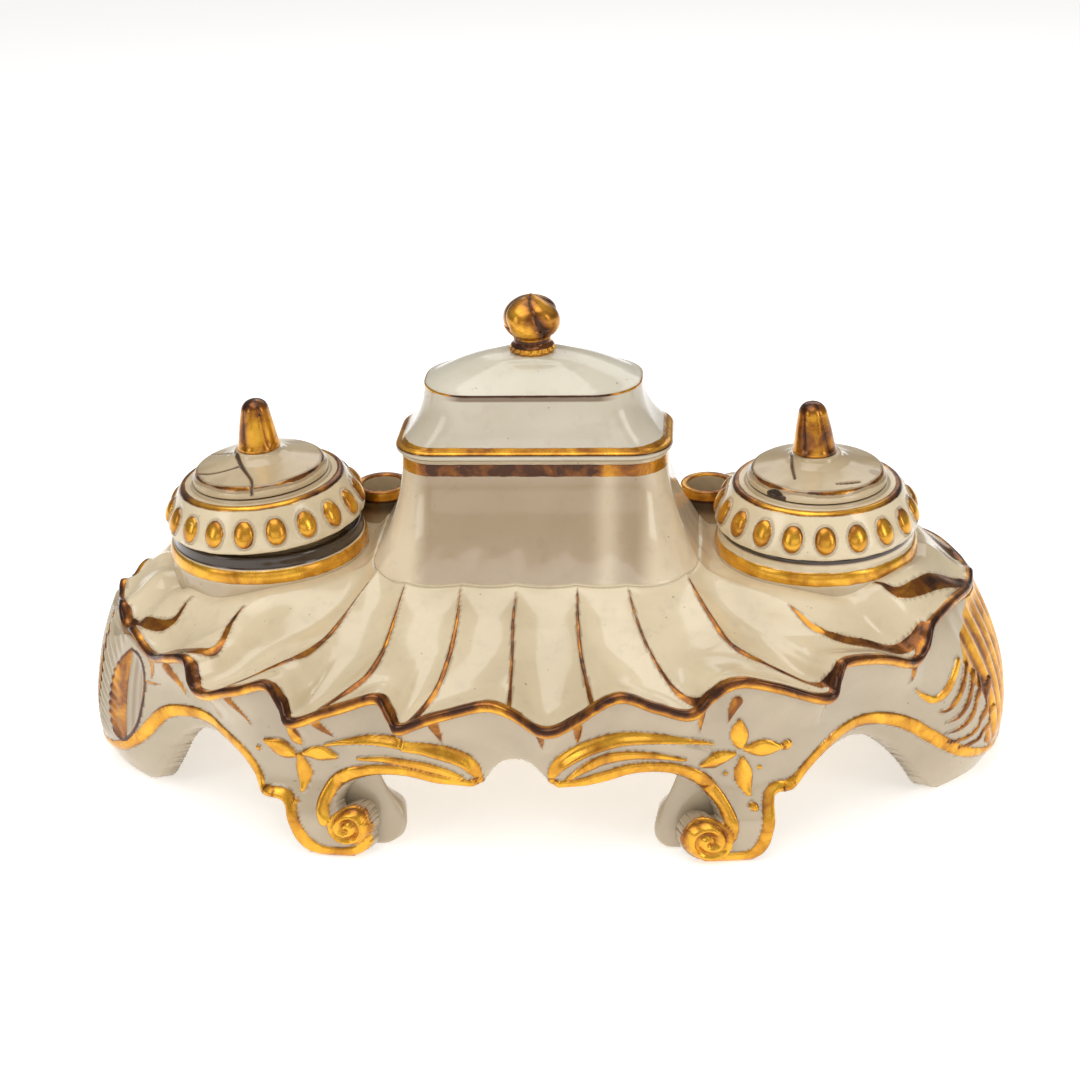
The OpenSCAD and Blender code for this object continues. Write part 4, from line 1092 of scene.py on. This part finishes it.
def build_box():
    box = Rings()
    put = box.put
    inner = grown(BOX, -5)
    put(rect_ring(*grown(inner, -1.5), DECK_Z + 5))
    put(rect_ring(*grown(inner, -0.3), DECK_Z + 5.4))
    put(rect_ring(*inner, DECK_Z + 7))
    for z in np.linspace(DECK_Z + 10, BOX_TOP - 1, 8):
        put(rect_ring(*inner, z))
    put(rect_ring(*grown(inner, 0.6), BOX_TOP - 0.1))
    put(rect_ring(*grown(BOX, -1.4), BOX_TOP))
    put(rect_ring(*grown(BOX, -0.3), BOX_TOP - 0.4))
    band_z, band_half = 100.0, 2.1
    for t in np.concatenate([np.linspace(0.04, 0.3, 22), np.linspace(0.32, 0.98, 46)]):
        k = t**2.2
        z = BOX_TOP - (BOX_TOP - DECK_Z) * t
        ring = rect_ring(BOX_X + 9.5 * k, BOX_Y + 17.5 * k, BOX_R + 8 * k, z)
        glint = 0.5 * np.exp(-(((ring[:, 0] - 23) / 3.5) ** 2))
        shade = 0.85 - 0.7 * ease((np.abs(ring[:, 0]) - 31) / 7) - glint
        ring[:, 2] -= skirt_drop(ring) * ease((t - 0.72) / 0.28)
        put(ring, band_half - abs(z - band_z), shade)
    foot = rect_ring(FOOT_X - 0.1, FOOT_Y - 0.1, FOOT_R, DECK_Z + 0.02)
    foot[:, 2] -= skirt_drop(foot)
    put(foot)
    put(rect_ring(FOOT_X - 0.6, FOOT_Y - 0.6, FOOT_R, DECK_Z - 2))
    put(rect_ring(FOOT_X - 3, FOOT_Y - 3, FOOT_R - 2, DECK_Z - 3.6))
    box.finish("box_body", "stand", BOX_GLAZE_PAINTED_LIGHT)


build_box()


def build_box_lid():
    lid = Rings()
    put = lid.put
    put(rect_ring(2.0, 2.0, 1.9, KNOB_Z + 0.1))
    put(rect_ring(7.5, 7.5, 7.3, KNOB_Z))
    top_x, top_y = 33.4, 17.3
    for k in np.linspace(0.26, 0.97, 16):
        hx, hy = top_x * k, max(8.0, top_y * k)
        z = SHOULDER_Z + DOME_H * (0.95 - k**2.2)
        put(rect_ring(hx, hy, min(hx, hy, 15.2) - 0.2, z), -0.4 - 2 * (1 - k))
    # Thin gilt lines run round the shoulder, where it is dark in its middle, and round the foot
    for t in np.linspace(1.0, 0.0, 40):
        k = (1 - t) ** 2.3
        z = BOX_TOP + 3.3 + 17.2 * t
        gilt = max(0.5 - abs(z - (SHOULDER_Z - 0.2)), 0.9 - abs(z - BOX_TOP - 3.7))
        ring = rect_ring(top_x + 7.4 * k, top_y + 2.3 * k, 11.5 + 3.5 * t, z)
        dark = 0.8 * ease((27 - np.abs(ring[:, 0])) / 6) if z > SHOULDER_Z - 2 else 0
        put(ring, gilt, 0.3 + dark)
    # Bead over the box's edge: gilt above, with painted shade in its groove and a painted shadow below
    over, bead_r = 1.7, 1.25
    for t in np.radians(np.linspace(78, -70, 12)):
        out = over - bead_r + bead_r * math.cos(t)
        ring = rect_ring(BOX_X + out, BOX_Y + out, BOX_R + 0.8, BOX_TOP + 1.75 + 1.45 * math.sin(t))
        wear_and_shade = 0.15 if t > 0.6 else 0.9 if t > 0.0 else 0.1 if t > -0.9 else 1.2
        put(ring, 1.2 if t > 0.2 else -1.2, wear_and_shade)
    put(rect_ring(BOX_X + 0.4, BOX_Y + 0.4, BOX_R, BOX_TOP + 0.02), -0.5, 0.3)
    bezel, core = grown(BOX, -5.7), (28.9, 10.6, 4.6)
    for size, z in (
        (grown(bezel, 0.5), BOX_TOP + 0.02), (bezel, BOX_TOP - 0.6), (bezel, BOX_TOP - 3.6),
        (grown(bezel, -0.5), BOX_TOP - 4), (grown(core, 0.3), BOX_TOP - 4), (core, BOX_TOP - 3.4),
        (core, SHOULDER_Z - 6.5), (grown(core, -2), SHOULDER_Z - 4.5),
    ):
        put(rect_ring(*size, z))
    lid.finish("box_lid", "box_lid", LID_GLAZE)


build_box_lid()


def build_knob():
    """Bud of four leaves that overlap to a point, on a beaded waist."""
    profile = [(0, 0), (6.4, 0), (6.95, 0.9), (6.6, 2.2), (5.75, 3.1), (5.6, 3.9)]
    for t in np.radians(np.arange(28, 172, 4)):
        k = 0.25 + 0.75 * math.sin(t) ** 0.8
        if t > math.pi / 2:
            k *= math.sin(t) * 0.6 + 0.4
        profile.append((KNOB_R * k, KNOB_H * (0.6 - 0.36 * math.cos(t))))
    profile.append((0, KNOB_H))
    waist_z = 3.7

    def leaf(z, a):
        """Height up the bud, 0 to 1, the leaves' twisted angle and how full they are there."""
        up = np.clip((z - waist_z) / (KNOB_H - waist_z), 0, 1)
        twist = a + 0.9 * up
        return up, twist, np.abs(np.cos(2 * twist)) ** 0.55

    def ripple(r, z, a):
        up, twist, petals = leaf(z, a)
        inner = np.abs(np.sin(2 * twist + 0.3)) ** 3
        on = ease(up / 0.15) * ease((1 - up) / 0.12)
        shrink = 1 - on * (0.16 * (1 - petals) + 0.05 * inner * (up > 0.3))
        beads = 1 + 0.05 * np.cos(16 * a) * ease(1 - np.abs(z - 1.0) / 1.2)
        return r * shrink * beads, z

    pts, faces, r, z, a = turned(profile, 160, 0.35, ripple)
    crease = 1 - leaf(z, a)[2]
    # Painted shade browns the creases between the leaves and the waist
    wear_and_shade = np.clip(0.1 + 0.9 * crease * (z > 3.5) + 0.6 * ((z > 2.0) & (z < 4.2)), 0, 1)
    gilt = np.full(len(z), 2.0)
    add_piece("box_knob", pts + [0, 0, KNOB_Z], faces, "box_lid", GILDING, gilt, wear_and_shade)


build_knob()


# ---- Wells and quill tubes ----
def build_well(side, word):
    deck = POT_DECK_Z
    floor, shell_r, ring_r = SEAT_Z - WELL_DEEP, WELL_BORE + 3, WELL_R - 1.6
    profile = rounded([
        (0, floor - 3), (shell_r, floor - 3), (shell_r, deck - 9), (WELL_R, deck - 7),
        (WELL_R, deck + 1.4), (WELL_R - 0.1, deck + 3), (WELL_R - 0.6, deck + 4.6),
        (ring_r, deck + 5.4), (ring_r, SEAT_Z), (WELL_BORE, SEAT_Z), (WELL_BORE, floor), (0, floor),
    ], 0.8)
    pts, faces, r, z, _ = turned(profile, 256, 0.9)
    outer = r > WELL_BORE + 3.4
    gilt = np.where(outer, 2.1 - np.abs(z - deck - 2.9), NOT_GILT)
    wear_and_shade = np.where(outer, 0.05 + 0.45 * ease((deck + 2.0 - z) / 2.2), 0)
    # The ring is dark, as in the shadow under the collar; more of it shows on the right
    dark_from = deck + 5.3 if side < 0 else SEAT_Z - 2.2
    wear_and_shade = np.where((z > dark_from) & (r > WELL_BORE + 0.5), 1.3, wear_and_shade)
    add_piece(f"{word}_well", pts + [side * POT_X, 0, 0], faces, "stand", GLAZE, gilt, wear_and_shade)


def build_tube(side, word):
    floor = TUBE_TOP - TUBE_DEEP
    profile = rounded([
        (0, floor - 3), (TUBE_R, floor - 3), (TUBE_R, TUBE_TOP - 2.6), (TUBE_R, TUBE_TOP),
        (TUBE_BORE, TUBE_TOP), (TUBE_BORE, floor), (0, floor),
    ], 0.9)
    pts, faces, r, z, _ = turned(profile, 96, 0.8)
    rim = (z > TUBE_TOP - 1.4) & (r > TUBE_BORE + 0.2)
    outside = r > TUBE_BORE + 0.1
    gilt = np.where(rim, 0.8, np.where(outside, z - (TUBE_TOP - 4.0), -1.2))
    wear_and_shade = np.where(r < TUBE_BORE + 0.3, 0.35, np.where(z > TUBE_TOP - 0.5, 0.5, 0.1))
    # Painted shadow, near black under the gilt band, fades down the outside
    wear_and_shade = np.where(outside & (z < TUBE_TOP - 3.4), 1.25 * ease((z - (TUBE_TOP - 16)) / 11), wear_and_shade)
    pts = pts + [side * TUBE_X, TUBE_Y, 0]
    add_piece(f"{word}_quill_tube", pts, faces, "stand", GLAZE, gilt, wear_and_shade)


for side, word in SIDES:
    build_well(side, word)
    build_tube(side, word)


# ---- Ink pots ----
BOSSES = 19


def boss_field(r, z, a, phase):
    """Signed distance in mm inside the collar's oval bosses, and the bosses' height there."""
    t = np.mod(a - phase, 2 * math.pi / BOSSES) - math.pi / BOSSES
    wide, tall = 3.2, 4.9
    k = np.hypot(t * r / wide, (z - (SEAT_Z + 6.0)) * 1.25 / tall)
    return (1 - k) * wide, np.sqrt(np.clip(1 - k * k, 0, 1))


def build_collar(side, word):
    phase = math.radians(7 if side > 0 else 4) + math.pi / BOSSES
    foot_r = WELL_BORE + 1
    profile = rounded([
        (CUP_R - 0.6, SEAT_Z + COLLAR_H * 0.42), (foot_r, SEAT_Z + 1.2), (foot_r, SEAT_Z),
        (COLLAR_R - 0.6, SEAT_Z), (COLLAR_R, SEAT_Z + 0.6), (COLLAR_R, SEAT_Z + 1.6),
        (COLLAR_R - 0.6, SEAT_Z + 3.5), (COLLAR_R - 1.6, SEAT_Z + 6), (COLLAR_R - 3.1, SEAT_Z + 8.8),
        (COLLAR_R - 4.9, POT_TOP - 2), (COLLAR_R - 5.7, POT_TOP - 0.9), (COLLAR_R - 6.4, POT_TOP - 0.5),
        (CUP_R - 0.9, POT_TOP - 0.8),
    ], 0.9)
    line = divided(profile, 0.45)
    n = 456
    a = np.arange(n) * 2 * math.pi / n
    R, A = np.meshgrid(line[:, 0], a, indexing="ij")
    Z = np.repeat(line[:, 1:], n, 1)
    tangent = np.gradient(line, axis=0)
    tangent /= np.maximum(np.linalg.norm(tangent, axis=1, keepdims=True), 1e-6)
    normal_r, normal_z = tangent[:, 1:2], -tangent[:, 0:1]
    field, dome = boss_field(R, Z, A, phase)
    face = (R > 26.4) & (Z > SEAT_Z + 1.4) & (normal_r > 0.1)
    wave = 0.4 * np.cos(BOSSES * (A - phase) + math.pi)
    scallop = wave * ease((SEAT_Z + 3.0 - Z) / 2) * (R > WELL_BORE + 2)
    lift = np.where(face & (field > 0), 1.5 * dome, 0)
    lift = np.where(face & (field <= 0) & (field > -0.5), -0.25, lift)
    R2 = R + lift * normal_r + np.minimum(scallop, 0)
    Z2 = Z + lift * normal_z + 0.5 * scallop * (Z < SEAT_Z + 2) * (Z > SEAT_Z + 0.3)
    pts = np.stack([R2 * np.cos(A), R2 * np.sin(A), Z2], -1)
    idx = np.arange(len(line) * n).reshape(-1, n)
    nxt = np.roll(idx, -1, axis=1)
    faces = np.stack([idx, nxt, np.roll(nxt, -1, axis=0), np.roll(idx, -1, axis=0)], -1)
    brim = np.where((Z > POT_TOP - 2.4) & (R > LID_R + 0.8), 1.15 - np.abs(R - 25.2), NOT_GILT)
    gilt = np.maximum(np.where(face, field, NOT_GILT), brim)
    # Painted shade browns each boss towards its edge and rings its foot, and browns the brim towards
    # its left and right sides and its outer edge
    round_boss = np.where(face & (field > -0.6), 0.35, 0.0)
    wear_and_shade = np.where(field > 0, 0.08 + 0.75 * (1 - dome) ** 1.3, round_boss)
    brown = 0.55 * ease((np.abs(np.cos(A)) - 0.55) / 0.35) + 0.35 * ease((R - 25.7) / 0.5)
    wear_and_shade = np.where(brim > 0, 0.1 + brown, wear_and_shade)
    add_piece(
        f"{word}_pot_collar", pts.reshape(-1, 3), faces.reshape(-1, 4).tolist(), f"{word}_pot", GLAZE,
        gilt.ravel(), wear_and_shade.ravel(), side=side,
    )


def build_cup(side, word):
    top, floor, bore = POT_TOP, SEAT_Z - CUP_DEEP, CUP_R - 3.2
    profile = rounded([
        (0, floor), (CUP_R - 1.5, floor), (CUP_R - 0.2, floor + 1.5), (CUP_R - 0.2, top - 1.2),
        (LID_R + 0.9, top - 0.7), (LID_R + 0.5, top), (MOUTH_R, top), (MOUTH_R, top - 5.5),
        (bore, top - 9.5), (bore, floor + 3.2), (0, floor + 3.2),
    ], 0.6)
    pts, faces, r, z, _ = turned(profile, 192, 1.0)
    wear_and_shade = np.where((r < CUP_R - 2.5) & (z < top - 6), 0.9, np.where(z > top - 1.2, 0.25, 0.0))
    add_piece(f"{word}_ink_pot", pts, faces, f"{word}_pot", CRAZED, None, wear_and_shade, side=side)


# Cracks on the lids: x, y in mm from the lid's middle, and half width
LEFT_CRACKS = [
    [(-5.6, -4.5, 0.55), (-3.4, -9.0, 0.6), (-1.0, -13.0, 0.5), (1.2, -17, 0.45), (1.9, -22.0, 0.5)],
    [(-3.4, -9.0, 0.4), (-9.0, -9.8, 0.4), (-14.0, -9.4, 0.4), (-19.0, -6.6, 0.35)],
    [(-6.2, -3.4, 0.35), (-9.0, 1.0, 0.35), (-12.6, 4.6, 0.3), (-18.5, 9.0, 0.3)],
]
RIGHT_CRACKS = [
    [(-8.0, 1.5, 0.3), (-8.0, -6.0, 0.4), (-7.4, -12.8, 0.35)],
    [(5.0, -15.6, 0.35), (8.4, -14.8, 0.45), (12.0, -13.4, 0.35)],
]
CHIP = [(-15.8, -15.6, 0.8), (-13.9, -17.4, 1.4), (-11.2, -19.4, 0.7), (-8.4, -20.8, 0.3)]


def build_pot_lid(side, word):
    plug = MOUTH_R - 0.6
    cracks = LEFT_CRACKS if side < 0 else RIGHT_CRACKS
    profile = rounded([
        (0, 2.2), (plug - 2.6, 1.0), (plug - 2.6, -4.5), (plug, -4.5), (plug, 0), (LID_R - 0.1, 0),
        (LID_R, 0.4), (LID_R, 1.8), (LID_R - 0.5, 2.4), (LID_R - 0.9, 3.0), (LID_R - 1.6, 3.9),
        (LID_R * 0.66, 5.2), (LID_R * 0.48, 6.3), (7.8, 7.6), (7.0, 9.1), (0, LID_H),
    ], 0.5)

    def ripple(r, z, a):
        q = np.stack([r * np.cos(a), r * np.sin(a)], -1)
        sink = np.zeros(r.shape)
        topside = (z > 1.5) & (r > 8)
        for line in cracks:
            sink = np.maximum(sink, np.where(topside, 0.5 * bead(*stroke(q, line, 6)), 0))
        if side > 0:
            chip, _ = stroke(q, CHIP, 6)
            sink = np.maximum(sink, np.where(topside, 1.3 * ease(chip / 1.2), 0))
        return r, z - sink

    pts, faces, r, z, a = turned(profile, 360, 0.4, ripple)
    x, y = r * np.cos(a), r * np.sin(a)
    q = np.stack([x, y], -1)
    topside = z > 1.4
    gilt = np.where(topside, 0.55 - np.abs(r - (LID_R - 1.3)) - 0.35 * np.sin(3 * a + side) ** 2, -2)
    wear_and_shade = np.where(gilt > -0.5, 0.7, 0.04)
    # Painted shadow: a near black line round the lid's lower edge, where it sits on the collar
    wear_and_shade = np.where((z > -0.1) & (z < 0.5) & (r > LID_R - 1), 1.3, wear_and_shade)
    for line in cracks:
        inside, _ = stroke(q, line, 6)
        black = 1.25 * ease((inside + 0.35) / 0.5)
        wear_and_shade = np.where(topside & (inside > -0.35), np.maximum(wear_and_shade, black), wear_and_shade)
        gilt = np.where(topside & (inside > -0.1), -1, gilt)
    if side > 0:
        chip, _ = stroke(q, CHIP, 6)
        wear_and_shade = np.where((z > -0.5) & (chip > -0.3), 1.3, wear_and_shade)
        gilt = np.where(chip > -0.3, -1, gilt)
        patch = 2.6 - np.hypot(x - 17.2, y + 6.0)
        wear_and_shade = np.maximum(wear_and_shade, np.where(topside, 0.75 * ease(patch / 1.4), 0))
    stain = 0.35 * ease((np.sin(3 * a + 1.3) * np.sin(5 * a) - 0.2) / 0.8) * ease((r - 11) / 8)
    wear_and_shade = np.clip(np.maximum(wear_and_shade, np.where(topside, stain, 0)), 0, 1.3)
    pts = pts + [0, 0, POT_TOP]
    add_piece(f"{word}_pot_lid", pts, faces, f"{word}_pot_lid", CRAZED, gilt, wear_and_shade, side=side)


def build_finial(side, word):
    h, base, top_r = FINIAL_H, FINIAL_R, FINIAL_R * 0.68
    lean, shift = (-0.06, -1.0) if side > 0 else (0.04, 0.8)
    profile = [
        (0, 0), (base, 0), (base + 0.1, 0.8), (base * 0.96, 2.0), (base * 0.82, h * 0.48),
        (top_r, h * 0.76),
    ]
    for t in np.radians(np.arange(15, 90, 9)):
        profile.append((top_r * math.cos(t) ** 0.85, h * (0.74 + 0.26 * math.sin(t))))
    profile.append((0, h))

    def crease(z, a):
        return 1 - np.abs(np.cos(2.5 * a + 0.4 + 0.05 * z)) ** 0.5

    def ripple(r, z, a):
        return r * (1 - 0.08 * crease(z, a) * ease(z / 4) * ease((h - z) / 4)), z

    pts, faces, r, z, a = turned(profile, 128, 0.5, ripple)
    # Painted shade browns the creases, and the top is browner
    wear_and_shade = np.clip(0.3 + 0.6 * crease(z, a) + 0.35 * ease((z - h * 0.8) / 3), 0, 1)
    pts[:, 0] += shift + lean * z
    pts = pts + [0, 0, POT_TOP + LID_H - 0.1]
    gilt = np.full(len(pts), 2.0)
    body = f"{word}_pot_lid"
    add_piece(f"{word}_finial", pts, faces, body, GILDING, gilt, wear_and_shade, side=side)


for side, word in SIDES:
    build_collar(side, word)
    build_cup(side, word)
    build_pot_lid(side, word)
    build_finial(side, word)


# ---- Floor, light and camera ----
def build_floor():
    mesh = bpy.data.meshes.new("floor")
    e = 6.0
    mesh.from_pydata([(-e, -e, 0), (e, -e, 0), (e, e, 0), (-e, e, 0)], [], [(0, 1, 2, 3)])
    obj = bpy.data.objects.new("floor", mesh)
    bpy.context.scene.collection.objects.link(obj)
    material = bpy.data.materials.new("pale_floor")
    net = Net(material)
    grain = net.noise(net.add("TexCoord").outputs["Object"], 30, 2)
    shader = net.add("BsdfPrincipled", {
        "Base Color": net.mix(grain, (0.93, 0.93, 0.93), (0.95, 0.95, 0.945)), "Roughness": 0.8,
        "Specular IOR Level": 0.1, "Emission Color": (1, 1, 1), "Emission Strength": 0.5,
    })
    net.add("OutputMaterial", {"Surface": shader.outputs[0]})
    mesh.materials.append(material)
    obj.location = (0, 0, -0.0004)


build_floor()


def area_light(name, place, target_z, size, power, colour=(1, 1, 1)):
    """Light at "place" that points at the middle of the part, target_z above the floor."""
    data = bpy.data.lights.new(name, "AREA")
    data.shape = "RECTANGLE"
    data.size, data.size_y = size
    data.energy = power
    data.color = colour
    obj = bpy.data.objects.new(name, data)
    obj.location = place
    obj.rotation_mode = "QUATERNION"
    obj.rotation_quaternion = (Vector((0, 0, target_z)) - Vector(place)).to_track_quat("-Z", "Y")
    bpy.context.scene.collection.objects.link(obj)


area_light("top_softbox", (-0.15, -0.1, 1.1), 0.05, (1.1, 0.8), 4.9, (1.0, 0.985, 0.96))
area_light("left_softbox", (-0.9, -0.7, 0.55), 0.06, (0.35, 0.7), 1.7, (1.0, 0.98, 0.95))
area_light("right_strip", (0.85, -0.55, 0.5), 0.06, (0.25, 0.7), 1.8, (1.0, 0.97, 0.93))
area_light("front_fill", (0.1, -1.2, 0.42), 0.06, (1.3, 0.5), 1.7, (1.0, 0.985, 0.955))
area_light("back_light", (0.1, 0.9, 0.7), 0.08, (0.9, 0.5), 1.5)

# Studio all round: grey by the floor, dark at eye level and bright above
world = bpy.data.worlds.new("studio")
bpy.context.scene.world = world
net = Net(world)
up = net.add("SeparateXYZ", {0: net.add("TexCoord").outputs["Generated"]}).outputs["Z"]
sky = net.ramp(net.fade(up, -1, 1), [
    (0.0, (0.55, 0.55, 0.56)), (0.5, (0.50, 0.495, 0.48)), (0.62, (0.30, 0.29, 0.27)),
    (1.0, (0.92, 0.91, 0.90)),
])
backdrop = net.add("Background", {"Color": sky, "Strength": 0.62})
net.add("OutputWorld", {"Surface": backdrop.outputs[0]})

# Camera fitted to the photograph: direction, distance, point looked at and lean
AZ, EL, ROLL = math.radians(5.168), math.radians(24.963), math.radians(-2.0895)
LOOK_AT = Vector((2.29, -24.0, 79.18)) * MM
DISTANCE, FOCAL_PX = 593.8 * MM, 1948.4
back_dir = Vector((math.sin(AZ) * math.cos(EL), -math.cos(AZ) * math.cos(EL), math.sin(EL)))
level = Vector((math.cos(AZ), math.sin(AZ), 0))
upward = back_dir.cross(level)
right_dir = level * math.cos(ROLL) + upward * math.sin(ROLL)
up_dir = -level * math.sin(ROLL) + upward * math.cos(ROLL)
cam_data = bpy.data.cameras.new("camera")
cam_data.sensor_width = 36
cam_data.lens = 36 * FOCAL_PX / 1080
cam_data.clip_start, cam_data.clip_end = 0.01, 50
cam = bpy.data.objects.new("camera", cam_data)
bpy.context.scene.collection.objects.link(cam)
turn = Matrix((right_dir, up_dir, back_dir)).transposed()
cam.matrix_world = Matrix.Translation(LOOK_AT + back_dir * DISTANCE) @ turn.to_4x4()
bpy.context.scene.camera = cam

view = bpy.context.scene.view_settings
view.view_transform = "Standard"
view.look = "None"
view.exposure = 0.0
view.gamma = 1.0

bpy.context.view_layer.update()
